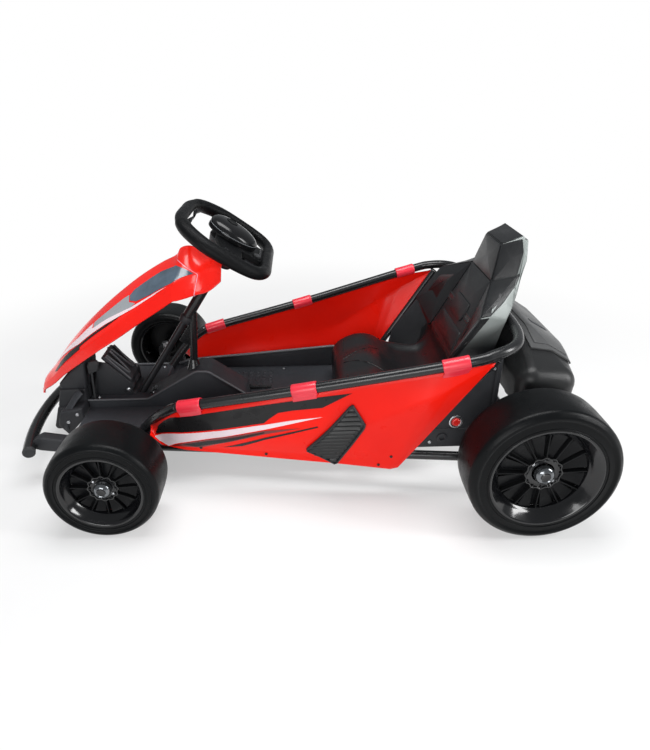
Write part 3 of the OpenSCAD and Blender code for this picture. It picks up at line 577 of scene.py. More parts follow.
# Weld beads where tubes meet
BRACE_WAY = (0.5, 0.1, -0.85)
BRACE_ENDS = [(-394, 280, 332), (-228, 240, 99)]
bead = [(8.2, -1.6), (10.2, -1.3), (10.8, 0), (10.2, 1.4), (8.2, 1.7)]
piece("brace_welds", both(*[aimed(lathe(bead, 28), at, BRACE_WAY) for at in BRACE_ENDS]), "frame_steel")


# --- Bolts ----------------------------------------------------------------------------------------
def cap_screw(at, way, r=4.0, h=3.0):
    """A round-headed socket screw."""
    profile = [(0, -1), (r, -1), (r, h * 0.45), (r * 0.86, h * 0.85), (r * 0.6, h), (r * 0.5, h),
        (r * 0.46, h * 0.4), (0, h * 0.4)]
    return aimed(lathe(profile, 20, closed=False), at, way)


def hex_bolt(at, way, r=6.0, h=4.0):
    washer = lathe([(0, -0.5), (r * 1.35, -0.5), (r * 1.35, 0.9), (0, 0.9)], 28, closed=False)
    head = lathe([(0, 0), (r, 0), (r, h - 0.6), (r * 0.88, h), (0, h)], 6, closed=False)
    return aimed(join(washer, head), at, way)


# --- Floor ----------------------------------------------------------------------------------------
tray = [(-290, 92), (296, 92), (316, 104), (492, 104), (492, 101), (317.2, 101), (297.2, 89), (-290, 89)]
flange = [(-290, 89), (-290, 152), (-100, 150), (160, 128), (240, 122), (300, 116), (318, 101), (296, 89)]


def tunnel_section(x, z, foot):
    y0, y1, t = -35, 42, 3
    return [Vector(p) for p in ((x, y0, foot), (x, y0, z), (x, y1, z), (x, y1, foot), (x, y1 - t, foot),
        (x, y1 - t, z - t), (x, y0 + t, z - t), (x, y0 + t, foot))]


tunnel_line = [(491.9, 124), (412, 124), (356, 124), (350, 125), (344, 127.5), (238, 190.5), (232, 193.6),
    (226, 195), (206, 194.2), (200, 192.8), (194, 189), (124, 137.4), (119, 133), (117, 128), (112, 100)]
tunnel = grid([tunnel_section(x, z, 103.5 if x > 318 else 91.5) for x, z in tunnel_line], loop_v=True,
    caps=True)
deck = prism([(492, 124), (330, 124), (326, 120), (322, 104), (332, 102), (492, 102)], -140, -35.6)
piece("floor_tray", join(prism(tray, -186, 186), prism(flange, 183, 186.4), prism(flange, -186.4, -183)),
    "deck_plastic", stands_for=["floor_pan"], bevel=1.1, segments=2)
piece("floor_tunnel", tunnel, "deck_plastic", bevel=3.2, segments=4, limit=40)
piece("floor_deck", deck, "deck_plastic", bevel=4, segments=4)
# Painted highlight: the bead along the tunnel's edge is drawn in the lighter edge plastic.
lip_path = [Vector((x, 42.2, z + 1.6)) for x, z in tunnel_line[:-1]]
piece("tunnel_edge_bead", sweep(lip_path, 3.0, 2.6, sides=12), "highlight_edge_plastic")
floor_holes = []
for x in (64, 82, 100, 118, 136, 154):
    for y in (58, 76, 94, 112, 130, 148):
        for s, _ in SIDES:
            floor_holes.append(aimed(lathe([(3.4, -0.2), (3.6, 1.2), (4.6, 1.5), (5.6, 1.0), (6.0, -0.2)],
                16), (x, s * y, 92), (0, 0, 1)))
piece("floor_grip_rings", join(*floor_holes), "deck_plastic")
ribs = [prism([(x, 91.5), (x + 5, 91.5), (x + 4, 95), (x + 1, 95)], y0, y1) for x in (180, 200, 220, 240,
    260, 280) for y0, y1 in ((52, 176), (-176, -45))]
piece("floor_heel_ribs", join(*ribs), "deck_plastic", bevel=0.8, segments=2)
# Painted highlight: the floor's rolled edges are drawn in the lighter edge plastic.
rim_left = [Vector((x, 181, z)) for x, z in ((478, 107), (330, 107), (312, 110), (296, 117), (240, 123),
    (160, 129), (-100, 151), (-286, 153))]
piece("floor_rolled_edges", both(sweep(rim_left, 4.6, 3.6, sides=14)), "highlight_edge_plastic", bevel=0.8, limit=60)
deck_screws = [cap_screw((470, -20, 124.2), (0, 0, 1)), cap_screw((470, 28, 124.2), (0, 0, 1)),
    cap_screw((345, -126, 124.2), (0, 0, 1)), cap_screw((478, -126, 124.2), (0, 0, 1)),
    cap_screw((30, -165, 92.4), (0, 0, 1)), cap_screw((30, 165, 92.4), (0, 0, 1)), cap_screw((300, 168, 95),
    (0, 0, 1)), cap_screw((460, 168, 104.4), (0, 0, 1))]
piece("floor_screws", join(*deck_screws), "raw_steel")

# A short corrugated conduit beside the tunnel
conduit_path = [Vector(catmull([(150, -48, 128), (138, -52, 112), (118, -56, 99), (90, -58, 96),
    (60, -60, 95)], k / 20)) for k in range(81)]
piece("cable_conduit", sweep(conduit_path, lambda f: 5.2 + 0.9 * math.cos(f * 160), sides=18), "end_rubber")

# --- Nose -----------------------------------------------------------------------------------------
upper_block = prism([(552, 158), (564, 112), (560, 104), (500, 96), (493, 104), (493, 158)], -46, 46)
lower_block = prism([(564, 112), (582, 58), (577, 50), (534, 50), (496, 96), (500, 106)], -50, 50)
wing_block = prism([(545, 118), (556, 82), (536, 54), (493, 98), (493, 128)], -84, 84)
piece("nose_cover_shell", join(upper_block, lower_block, wing_block), "black_plastic",
    stands_for=["nose_cover"], bevel=5, segments=4)
nose_strip = [Vector(p) for p in ((497, 62, 160), (510, 66, 146), (530, 74, 118), (541, 80, 92),
    (540, 84, 70))]
piece("nose_trim_strips", both(sweep(nose_strip, 9, 2.4, sides=14, lift=(0.5, 1, 0.4))), "deck_plastic",
    bevel=0.8, limit=60)
piece("nose_bracket", join(prism([(480, 192), (481, 214), (474, 225), (458, 227), (453, 219), (459, 200)],
    28, 38), bar((474, 33, 200), (479, 33, 124), 5)), "end_rubber", bevel=2.5, segments=3)
piece("nose_screws", both(cap_screw((530, 84.6, 92), (0, 1, 0)), cap_screw((506, 84.6, 112), (0, 1, 0)),
    cap_screw((561, 50.6, 80), (0, 1, 0))), "raw_steel")
support = prism([(550, 157), (551, 172), (500, 226), (484, 226), (490, 157)], -44, 44)
piece("fairing_support_block", support, "black_plastic", stands_for=["fairing_support"], bevel=4, segments=3)

# --- Fairing and hood: one surface, cut along a slanted seam --------------------------------------
# x, ridge height, crease half-width and height, edge half-width and height
STATIONS = [(602, 150, 16, 148, 20, 138), (590, 176, 30, 168, 36, 154), (560, 212, 46, 192, 52, 176),
    (525, 256, 58, 228, 64, 206), (480, 303, 70, 266, 78, 240), (428, 350, 80, 304, 88, 276),
    (379, 389, 84, 338, 94, 308), (331, 423, 86, 372, 100, 342), (285, 450, 86, 404, 104, 372),
    (252, 466, 86, 424, 106, 394), (240, 482, 80, 431, 105, 397), (222, 487, 73, 437, 104, 402),
    (204, 481, 68, 440, 104, 408), (188, 470, 66, 444, 102, 411), (170, 464, 66, 450, 98, 416),
    (146, 462, 68, 458, 92, 434)]
LAST = len(STATIONS) - 1


def fairing_at(t, s, lift=0.0):
    """s runs from 0 at the ridge to 1 at the crease and 2 at the edge, negative on the right."""
    def flat(tt, ss):
        x, ridge, cw, ch, ew, eh = catmull(STATIONS, max(0.0, min(LAST, tt)))
        side = -1 if ss < 0 else 1
        a = abs(ss)
        if a <= 1:
            bulge = 5.5 * math.sin(math.pi * a) * min(1, tt)
            p = (lerp(0, cw, a), lerp(ridge, ch, a) + bulge)
        else:
            p = (lerp(cw, ew, a - 1), lerp(ch, eh, a - 1))
        return Vector((x, side * p[0], p[1]))

    here = flat(t, s)
    if lift:
        du = flat(min(LAST, t + 0.02), s) - flat(max(0, t - 0.02), s)
        dv = flat(t, s + 0.02) - flat(t, s - 0.02)
        n = du.cross(dv).normalized()
        if n.z < 0:
            n = -n
        here += n * lift
    return here


def softened(row, cut):
    """Softens the ridge and the creases of a section."""
    out = []
    for i, p in enumerate(row):
        w = cut[i]
        if 0 < i < len(row) - 1 and w:
            p = p * (1 - w) + (row[i - 1] + row[i + 1]) * 0.5 * w
        out.append(p)
    return out


S_STEPS = [2, 1.85, 1.6, 1.35, 1.15, 1.04, 1.0, 0.96, 0.88, 0.72, 0.55, 0.38, 0.22, 0.1, 0.04]
S_ALL = S_STEPS + [0.0] + [-s for s in reversed(S_STEPS)]
S_SOFT = [0.6 if abs(s) in (1.0, 0.0) else 0.0 for s in S_ALL]


def seam_t(s):
    return lookup(abs(s), [(0, 9.15), (0.35, 9.5), (0.75, 11.0), (1.0, 12.45), (2.0, 12.1)])


def fairing_rows(t0, t1, n):
    rows = []
    for i in range(n + 1):
        rows.append(softened([fairing_at(lerp(t0(s), t1(s), i / n), s) for s in S_ALL], S_SOFT))
    return rows


tip_rows = fairing_rows(lambda s: 0.0, lambda s: seam_t(s) - 0.035, 70)
piece("fairing_shell", grid(tip_rows), "red_gloss", stands_for=["fairing"], solid=3, bevel=0.9, segments=2,
    limit=55)
hood_rows = fairing_rows(lambda s: seam_t(s) + 0.035, lambda s: float(LAST), 30)
piece("column_hood_shell", grid(hood_rows), "red_gloss", stands_for=["column_hood"], solid=3, bevel=0.9,
    segments=2, limit=55)
tip_edge = [fairing_at(0, s) for s in S_ALL]
piece("fairing_tip_lip", sweep([p + Vector((-1.5, 0, -1.5)) for p in tip_edge], 2.6, sides=12), "red_gloss")
seam_strip = [fairing_at(seam_t(s), s, -2.6) for s in S_ALL]
piece("fairing_seam_tongue", sweep(seam_strip, 2.0, 2.6, sides=8), "film_pink")


def fairing_film(name, outline, look, lift=0.5):
    shape = patch(outline, fairing_at, lift=lift, step=(0.22, 0.12))
    other = patch([(t, -s) for t, s in outline], fairing_at, lift=lift, step=(0.22, 0.12))
    piece(name, join(shape, other), look)


window = [(8.2, 0.92), (7.7, 0.9), (6.95, 0.8), (6.6, 0.66), (6.55, 0.5), (6.75, 0.43), (7.4, 0.42),
    (8.1, 0.42), (8.8, 0.47), (9.6, 0.56), (10.6, 0.74), (11.9, 0.95), (11.3, 0.965), (10.2, 0.965),
    (9.2, 0.955)]
fairing_film("window_film", window, "film_blue")
fairing_film("stripe_film_grey", [(6.5, 0.47), (6.55, 0.68), (6.9, 0.83), (6.6, 0.86), (5.4, 0.68),
    (4.7, 0.62), (4.7, 0.45), (5.4, 0.45), (6.2, 0.44)], "film_grey", lift=0.35)
fairing_film("stripe_film_white", [(8.6, 0.965), (7.7, 0.93), (6.7, 0.855), (5.4, 0.68), (4.65, 0.62),
    (4.65, 0.45), (3.9, 0.48), (3.0, 0.40), (2.2, 0.42), (3.0, 0.58), (3.95, 0.76), (4.6, 0.76), (5.4, 0.80),
    (6.1, 0.86), (6.9, 0.93), (7.8, 0.97)], "film_white")
fairing_film("stripe_film_line", [(6.2, 0.87), (5.4, 0.82), (4.6, 0.79), (4.0, 0.80), (4.0, 0.88),
    (4.7, 0.86), (5.5, 0.88)], "film_black")
fairing_film("stripe_film_wedge", [(4.0, 0.78), (3.4, 0.73), (2.7, 0.74), (2.2, 0.86), (2.5, 0.97),
    (2.9, 0.965), (3.6, 0.965), (4.1, 0.955)], "film_black")

# --- Side panels ----------------------------------------------------------------------------------
PANEL_X = [(314, 306), (292, 284), (246, 232), (150, 120), (31, 20), (-80, -90), (-160, -170), (-250, -206),
    (-330, -222), (-389, -228)]
PANEL_TOP = [(-389, 330), (-320, 318), (-25, 245), (216, 192), (246, 184), (292, 167), (314, 142)]
PANEL_LOW = [(-228, 74), (-222, 66), (-206, 61), (-90, 72), (20, 80), (120, 88), (232, 96), (284, 108),
    (306, 132)]
TUBE_Y = [(-385, 290), (-320, 292), (-25, 247), (216, 211), (246, 203), (320, 160)]
PANEL_LAST = len(PANEL_X) - 1


def panel_flat(i, k):
    j = min(int(i), PANEL_LAST - 1)
    u = i - j
    a, b = lerp(PANEL_X[j][0], PANEL_X[j + 1][0], u), lerp(PANEL_X[j][1], PANEL_X[j + 1][1], u)
    top, low = lookup(a, PANEL_TOP), lookup(b, PANEL_LOW)
    return a, b, lerp(a, b, k), lerp(top, low, k)


def crease_k(i):
    """Where the crease crosses a line of the panel, as a share of its height."""
    lo, hi = 0.0, 1.0
    for _ in range(24):
        k = (lo + hi) / 2
        _, _, x, z = panel_flat(i, k)
        if z > 190 + (-147 - x) * 0.566:
            lo = k
        else:
            hi = k
    bent = (lo + hi) / 2
    return lerp(0.46, bent, smoothstep(4.6, 5.9, i))


def panel_at(i, k, lift=0.0):
    a, b, x, z = panel_flat(i, k)
    top_y = lookup(a, TUBE_Y) - 1
    foot_y = lerp(256, 206, (b + 228) / 534)
    k0 = max(0.02, crease_k(i))
    belly = 16 * math.sin(math.pi * min(1, k * 1.1)) * max(0, min(1, (320 - a) / 160))
    roof = 19 * min(1, (a + 389) / 110) * (k / k0 if k < k0 else max(0.0, (1 - k) / (1 - k0)))
    share = smoothstep(4.6, 5.8, i)
    return Vector((x, lerp(top_y, foot_y, k) + lerp(belly, roof, share) + lift, z))


def panel_place(x, z, lift=0.0):
    """The panel's point with a given x and z."""
    lo, hi = 0.0, float(PANEL_LAST)
    for _ in range(26):
        i = (lo + hi) / 2
        a, b, _, _ = panel_flat(i, 0)
        top, low = lookup(a, PANEL_TOP), lookup(b, PANEL_LOW)
        k = (top - z) / (top - low)
        if lerp(a, b, k) > x:
            lo = i
        else:
            hi = i
    return panel_at(i, max(0.0, min(1.0, k)), lift)


panel_rows = []
for n in range(PANEL_LAST * 8 + 1):
    i = n / 8
    k0 = crease_k(i)
    ks = [k0 * j / 8 for j in range(8)] + [k0 - 0.012, k0 + 0.012] + [k0 + (1 - k0) * j / 12 for j in
        range(1, 13)]
    panel_rows.append([panel_at(i, max(0, k), 3) for k in ks])
for s, side in SIDES:
    shape = grid(panel_rows)
    skin = piece(f"side_panel_{side}_skin", shape if s > 0 else mirrored(shape), "red_panel",
        stands_for=[f"side_panel_{side}"], bevel=0.8, segments=2, limit=60)
    m = skin.modifiers.new("thickness", "SOLIDIFY")
    m.thickness, m.offset = 3 * MM, -1
    skin.modifiers.move(1, 0)


def panel_film(name, outline, look, lift=3.35):
    shape = patch(outline, panel_place, lift=lift, thick=0.25, step=(14, 14))
    piece(name, both(shape), look)


def under_top(x, drop):
    return (x, lookup(x, PANEL_TOP) - drop)


band = [under_top(x, d) for x, d in ((250, 9), (200, 9), (100, 8), (0, 8), (-60, 9), (-119, 12))]
band += [(-60, 222), (0, 212), (30, 205), (50, 190), (60, 181), (298, 130), (292, 145), (278, 158),
    (262, 169)]
panel_film("panel_band_film", band, "film_black")
panel_film("panel_stripe_film", [(299, 127), (58, 177.5), (0, 191), (-60, 202), (-20, 190), (60, 166),
    (180, 134), (252, 112), (270, 106), (288, 116)], "film_white", lift=3.4)
panel_film("panel_wedge_film_a", [(266, 105), (160, 138), (60, 163), (-14, 173), (60, 154), (154, 122),
    (200, 104)], "film_dark_red", lift=3.36)
panel_film("panel_wedge_film_b", [(150, 109), (60, 145), (-50, 180), (-51, 177), (60, 139), (110, 116)],
    "film_black", lift=3.42)
panel_film("panel_wedge_film_c", [(240, 110), (170, 130), (60, 160), (60, 157), (150, 125), (210, 106)],
    "film_black", lift=3.46)

# Straps that hold the panels to the tube
strap_section = [(-26, 11.4), (-26, 13.2), (-25.2, 14.0), (-23.5, 14.3), (0, 14.0), (23.5, 14.3),
    (25.2, 14.0), (26, 13.2), (26, 11.4)]
straps = []
for x in (214, -25, -314):
    dx = 15
    y_at = lambda v: lookup(v, TUBE_Y)
    z_at = lambda v: lookup(v, [(-385, 346), (-320, 330), (-25, 257), (216, 204), (246, 196), (288, 166)])
    c = Vector((x, y_at(x), z_at(x)))
    way = Vector((2 * dx, y_at(x + dx) - y_at(x - dx), z_at(x + dx) - z_at(x - dx)))
    ring = [(r, z) for z, r in strap_section]
    straps.append(aimed(lathe(ring, 40), c, way))
    way.normalize()
    flap = []
    for u in (-25, -12, 0, 12, 25):
        at = c + way * u
        column = [Vector((at.x, at.y + 13.6, at.z - 1)), Vector((at.x, at.y + 13.4, at.z - 9))]
        low = panel_place(at.x, at.z - 21, 6.0)
        flap.append(column + [Vector((at.x, max(low.y, at.y + 5), at.z - 16)), low])
    sheet = grid(flap)
    thick = [p - Vector((0, 2.2, 0)) for p in sheet[0]]
    n = len(sheet[0])
    m = 4
    rim = [i for i in range(m)] + [i * m + m - 1 for i in range(1, 5)] + [4 * m + i for i in range(m - 2, -1,
        -1)]
    rim += [i * m for i in range(3, 0, -1)]
    faces = sheet[1] + [[n + i for i in reversed(f)] for f in sheet[1]]
    faces += [[rim[i], rim[(i + 1) % len(rim)], n + rim[(i + 1) % len(rim)],
        n + rim[i]] for i in range(len(rim))]
    straps.append((sheet[0] + thick, faces))
piece("panel_straps", both(*straps), "clip_red", stands_for=["panel_clips"], bevel=0.7, segments=2, limit=50)

# Louvred vents
VENT = [(-119, 233), (-145, 190), (-89, 74), (-26, 114)]


def vent_span(z, inset):
    """Where a level line crosses the vent's outline."""
    xs = []
    for (x0, z0), (x1, z1) in zip(VENT, VENT[1:] + VENT[:1]):
        if (z0 - z) * (z1 - z) < 0:
            xs.append(lerp(x0, x1, (z - z0) / (z1 - z0)))
    return (min(xs) + inset, max(xs) - inset) if len(xs) == 2 else None


def vent_on(x, z, up):
    return panel_place(x, z, 3 + up)


vent_back = patch(VENT, vent_on, lift=-2, thick=5.5, step=(16, 16))
slats = []
z = 82.0
while z < 226:
    # each slat is tilted: its lower edge stands out
    span = vent_span(z + 3, 4)
    if span and span[1] - span[0] > 7:
        n = 6
        rows = []
        for j in range(n + 1):
            x = lerp(span[0], span[1], j / n)
            rise = (x + 85) * -0.12
            rows.append([vent_on(x, z + 8.2 + rise, 3.2), vent_on(x, z + 7.6 + rise, 4.8),
                vent_on(x, z + 1 + rise, 8.0), vent_on(x, z + rise, 7.4), vent_on(x, z + rise, 3.2)])
        slats.append(grid(rows, loop_v=True, caps=True))
    z += 10.4
frame_path = [vent_on(lerp(a[0], b[0], t), lerp(a[1], b[1], t), 4.0) for a,
    b in zip(VENT, VENT[1:] + VENT[:1]) for t in (0.04, 0.28, 0.5, 0.72, 0.96)]
piece("vent_backs", both(vent_back), "black_plastic", stands_for=["panel_vents"])
piece("vent_slats", both(*slats), "cover_plastic", bevel=0.6, segments=2)
piece("vent_frames", both(sweep(frame_path, 2.8, 3.6, sides=10, closed=True, lift=(0, 1, 0))),
    "black_plastic")
piece("panel_screws", both(*[cap_screw(panel_place(x, z, 3.2), (0, 1, 0), 3.2, 2.2) for x,
    z in ((200, 104), (60, 92), (-180, 74), (-205, 100))]), "dark_steel")

# --- Seat -----------------------------------------------------------------------------------------
SEAT = {"A": (-455, 51, 495), "B": (-437, 73, 419), "C": (-506, 70, 509), "H0": (-496, 63, 510),
        "D": (-356, 101, 247), "E": (-388, 178, 375), "F": (-329, 187, 288), "G": (-350, 116, 236),
        "H0b": (-497, 78, 483), "H1": (-485, 92, 436), "H1b": (-471, 120, 420), "H2": (-443, 145, 398),
        "H3": (-412, 168, 374), "H3b": (-385, 178, 346), "H4": (-364, 183, 320), "H5": (-346, 185, 293),
        "K0": (-504, 84, 466), "K1a": (-492, 100, 439), "K1": (-481, 114, 398), "K2": (-466, 140, 380),
        "K3": (-452, 157, 362), "K4": (-447, 150, 332), "K5": (-443, 140, 295), "K6": (-427, 135, 250)}


def seat_point(key):
    return flip(SEAT[key[0:-1]]) if key.endswith("'") else Vector(SEAT[key])


def seat_face(text):
    return [seat_point(k) for k in text.split()]


def other_side(text):
    return " ".join(k[:-1] if k.endswith("'") else k + "'" for k in text.split())


CENTRE_FACES = ["A A' B' B", "B B' D' D", "A' A H0 C C' H0'", "C K0 K0' C'", "K0 K1a K1a' K0'",
    "K1a K1 K1' K1a'", "K1 K2 K2' K1'", "K2 K3 K3' K2'", "K3 K4 K4' K3'", "K4 K5 K5' K4'", "K5 K6 K6' K5'",
    "D G K6 K6' G' D'"]
SIDE_FACES = ["B D F E", "D G F", "A B H1 H0b H0", "B E H3 H2 H1b H1", "E F H5 H4 H3b H3",
    "H0 H0b H1 K1a K0 C", "H1 H1b K1 K1a", "H1b H2 K2 K1", "H2 H3 K3 K2", "H3 H3b K4 K3", "H3b H4 K5 K4",
    "H4 H5 K6 K5", "H5 F G K6"]
seat_shell = ([], [])
for text in CENTRE_FACES + SIDE_FACES + [other_side(t) for t in SIDE_FACES]:
    corners = seat_face(text)
    seat_shell = join(seat_shell, (corners, [list(range(len(corners)))]))
piece("seat_back_shell", seat_shell, "seat_shell", stands_for=["seat_back"], bevel=5, segments=4, limit=14)


def seat_pad(text, thick, inside, **more):
    corners = seat_face(text)
    mid = sum(corners, Vector()) / len(corners)
    normal = Vector()
    for i, c in enumerate(corners):
        normal += (c - mid).cross(corners[(i + 1) % len(corners)] - mid)
    return pad(corners if normal.dot(mid - Vector(inside)) > 0 else corners[::-1], thick, **more)


pads = [seat_pad("A A' B' B", 2.6, (-480, 0, 440)), seat_pad("B B' D' D", 2.4, (-440, 0, 330)),
    both(seat_pad("E F D B", 2.6, (-430, 150, 320))), both(seat_pad("H1 H0b H0 A B", 2.2, (-480, 20, 440),
    cut=3)), seat_pad("A H0 H0' A'", 1.4, (-480, 0, 440)), both(seat_pad("H1 H1b H2 H3 E B", 2.0,
    (-430, 100, 330), cut=2)), both(seat_pad("H3 H3b H4 H5 F E", 1.8, (-400, 120, 320), cut=2))]
piece("seat_back_pads", join(*pads), "seat_plastic", bevel=1.5, segments=3, limit=28)

PANEL_N = Vector((0.903, 0, 0.43))


def on_backrest(z, y, up=2.4):
    f = (419 - z) / 172
    return Vector((lerp(-437, -356, f), y, z)) + PANEL_N * up


def long_lathe(profile, stretch, turns=32):
    """A ring's section carried round a long rounded slot."""
    points, faces = lathe(profile, turns)
    return [Vector((p.x, p.y + (stretch if p.y >= 0 else -stretch), p.z)) for p in points], faces


slot_rim = [(4.2, -1), (4.6, 1.4), (6.2, 2.0), (8.0, 1.4), (9.0, -1)]
# Painted shade: a black film on the floor of each belt slot stands in for the shade in the opening.
slot_shade_floor = lathe([(0, -0.6), (5.0, -0.6), (5.0, 0.5), (0, 0.5)], 32, closed=False)
slot_shade_floor = ([Vector((p.x, p.y + (13 if p.y >= 0 else -13), p.z)) for p in slot_shade_floor[0]], slot_shade_floor[1])
slot_places = [(331, 72), (331, -72)]
piece("seat_belt_slot_rims", join(*[aimed(long_lathe(slot_rim, 13), on_backrest(z, y), PANEL_N) for z,
    y in slot_places]), "seat_plastic")
piece("seat_belt_slot_shades", join(*[aimed(slot_shade_floor, on_backrest(z, y), PANEL_N) for z, y in slot_places]),
    "film_black")
lumbar = pad([on_backrest(354, 50, 1.5), on_backrest(354, -50, 1.5), on_backrest(312, -50, 1.5),
    on_backrest(312, 50, 1.5)], 4.2, inset=0, cut=12)
lower_pad = pad([on_backrest(300, 82, 1.5), on_backrest(300, -82, 1.5), on_backrest(258, -90, 1.5),
    on_backrest(258, 90, 1.5)], 2.2, inset=0, cut=10)
piece("seat_back_raised_pads", join(lumbar, lower_pad), "seat_plastic", bevel=1.8, segments=3, limit=28)
rib_side = [(-421, 262), (-430, 268), (-452, 336), (-443, 342)]
back_ribs = [prism(rib_side, y - 2.5, y + 2.5) for y in (-60, -20, 20, 60)]
piece("seat_back_rear_ribs", join(*back_ribs), "seat_plastic", bevel=1, segments=2)

# Moulded cushion
CUSHION = [(-103, 93), (-100, 140), (-103, 168), (-113, 187), (-130, 200), (-154, 210), (-180, 213.5),
    (-206, 207), (-230, 192), (-262, 176), (-300, 169), (-328, 171), (-346, 186), (-357, 210), (-361, 236),
    (-367, 236), (-364, 208), (-356, 182), (-350, 160), (-347, 130), (-342, 93)]
cushion_line = [Vector((p[0], 0, p[1])) for p in curve([(x, z, 0) for x, z in CUSHION], 5)]
cushion_rows = []
for n in range(41):
    f = -1 + 2 * n / 40
    y = 146 * math.sin(f * math.pi / 2) if abs(f) > 0.999 else 146 * (abs(f) ** 0.62) * (1 if f > 0 else -1)
    edge = max(0.0, abs(y) - 122)
    drop = 24 - math.sqrt(max(0.0, 24 ** 2 - min(24, edge) ** 2))
    hollow = 5.5 * math.exp(-((abs(y) - 62) / 36) ** 2)
    row = []
    for p in cushion_line:
        high = smoothstep(120, 190, p.z)
        x = p.x + (drop * 0.8 if p.x < -222 else -drop * 0.8)
        row.append(Vector((x, y, max(93, p.z - drop * high - hollow * smoothstep(180, 210,
            p.z) + 10 * smoothstep(96, 128, abs(y)) * smoothstep(-220, -270, p.x) * (1 - smoothstep(128, 146,
            abs(y)) * 0.6)))))
    cushion_rows.append(row)
piece("seat_cushion", grid(cushion_rows, loop_v=True, caps=True), "seat_plastic", stands_for=["seat_base"],
    soften=50)


def cushion_top(x, y):
    best = min(cushion_rows, key=lambda r: abs(r[0].y - y))
    z = lookup(x, sorted((p.x, p.z) for p in best if p.z > 150))
    return Vector((x, y, z))


# Painted shade: thin black tubes laid along the cushion's seams stand in for the shadow in the seam grooves.
seam_shades = []
for pts in (((-122, 8), (-150, 22), (-182, 42), (-214, 60)), ((-126, 62), (-128, 90), (-131, 118))):
    path = [Vector(catmull([(x, y, 0) for x, y in pts], k / 8)) for k in range(8 * (len(pts) - 1) + 1)]
    seam_shades.append(sweep([cushion_top(p.x, p.y) + Vector((0, 0, 0.2)) for p in path], 1.5, 0.9, sides=10))
piece("seat_cushion_seam_shades", both(*seam_shades), "film_black")
piece("seat_cushion_slots", both(aimed(join(([Vector((p.x * 0.8, p.y * 0.8,
    p.z)) for p in long_lathe(slot_rim, 13)[0]], long_lathe(slot_rim, 13)[1])), (-108, 60, 176),
    (0.9, 0, 0.45))), "seat_plastic")
piece("seat_bracket_bolts", both(hex_bolt((-372, 105.4, 130), (0, 1, 0)), hex_bolt((-392, 105.4, 190),
    (0, 1, 0)), hex_bolt((-398, 105.4, 112), (0, 1, 0))), "raw_steel")


# --- Rear cover and its lid -----------------------------------------------------------------------
def cover_hull(grow, foot):
    bm = bmesh.new()
    for x, y, z in ((-490, 232, 262), (-548, 228, 254), (-582, 92, 250), (-510, 100, 292)):
        for s, _ in SIDES:
            for i in range(1, 14):
                a = math.pi * i / 14 - math.pi / 2
                for k in range(36):
                    b = 2 * math.pi * k / 36
                    r = 34 + grow
                    bm.verts.new((x + r * math.cos(a) * math.cos(b), s * y + r * math.cos(a) * math.sin(b),
                        z + r * math.sin(a)))
            bm.verts.new((x, s * y, z + 34 + grow))
            for k in range(36):
                b = 2 * math.pi * k / 36
                bm.verts.new((x + (30 + grow) * math.cos(b), s * y + (30 + grow) * math.sin(b), foot))
    bmesh.ops.convex_hull(bm, input=bm.verts)
    loose = [v for v in bm.verts if not v.link_faces]
    bmesh.ops.delete(bm, geom=loose, context="VERTS")
    return bm


def bm_shape(bm):
    bm.verts.index_update()
    shape = ([v.co.copy() for v in bm.verts], [[v.index for v in f.verts] for f in bm.faces])
    bm.free()
    return shape


def trimmed(bm, planes):
    for co, no in planes:
        bmesh.ops.bisect_plane(bm, geom=bm.verts[:] + bm.edges[:] + bm.faces[:], plane_co=co, plane_no=no,
            clear_outer=True)
    return bm


piece("rear_cover_shell", bm_shape(cover_hull(0, 208)), "cover_plastic", stands_for=["rear_cover"],
    soften=34)
lid_box = [((-500, 0, 0), (1, 0, 0)), ((-604, 0, 0), (-1, 0, 0)), ((0, 186, 0), (0, 1, 0)),
    ((0, -186, 0), (0, -1, 0)), ((0, 0, 272), (0, 0, -1))]
lid_shape = bm_shape(trimmed(cover_hull(4.6, 208), lid_box))
piece("rear_cover_lid", lid_shape, "lid_plastic", body="lid", stands_for=["cover_lid"], solid=4, bevel=1.2,
    segments=3, limit=50)
inner_lid = [((-512, 0, 0), (1, 0, 0)), ((-596, 0, 0), (-1, 0, 0)), ((0, 170, 0), (0, 1, 0)),
    ((0, -170, 0), (0, -1, 0)), ((0, 0, 284), (0, 0, -1))]
piece("rear_cover_lid_panel", bm_shape(trimmed(cover_hull(6.6, 208), inner_lid)), "lid_plastic", body="lid",
    solid=3, bevel=1.2, segments=3, limit=50)
SLOPE_N = Vector((-0.504, 0, 0.864))
plate = slab([(-24, -9), (24, -9), (24, 9), (-24, 9)], -0.5, 2.2)
piece("rear_cover_plate", aimed(plate, (-560, 62, 308.5), SLOPE_N), "deck_plastic", body="lid",
    bevel=1.1, segments=3)
barrel = bar((-500, -40, 331), (-500, 40, 331), 7.4, sides=24)
piece("lid_hinge_barrel", barrel, "black_plastic", body="lid", bevel=0.6, limit=60)
lugs = both(prism([(-504, 320), (-496, 320), (-496, 332), (-498, 334.5), (-502, 334.5), (-504, 332)], 42, 48))
piece("lid_hinge_lugs", join(lugs, bar((-500, -49, 331), (-500, 49, 331), 4, sides=16)), "black_plastic",
    bevel=0.7, segments=2)
cover_groove = [Vector((x, y, z)) for x, y, z in ((-456, 150, 255), (-456, 60, 258), (-456, -60, 258),
    (-456, -150, 255))]
piece("rear_cover_front_bead", sweep(cover_groove, 1.6, sides=10), "black_plastic")
piece("rear_cover_screws", both(cap_screw((-519, 262.6, 238), (0, 1, 0)), cap_screw((-494, 266.2, 240),
    (0, 1, 0)), cap_screw((-616, 60, 240), (-1, 0, 0)), cap_screw((-616, 20, 222), (-1, 0, 0))), "raw_steel")

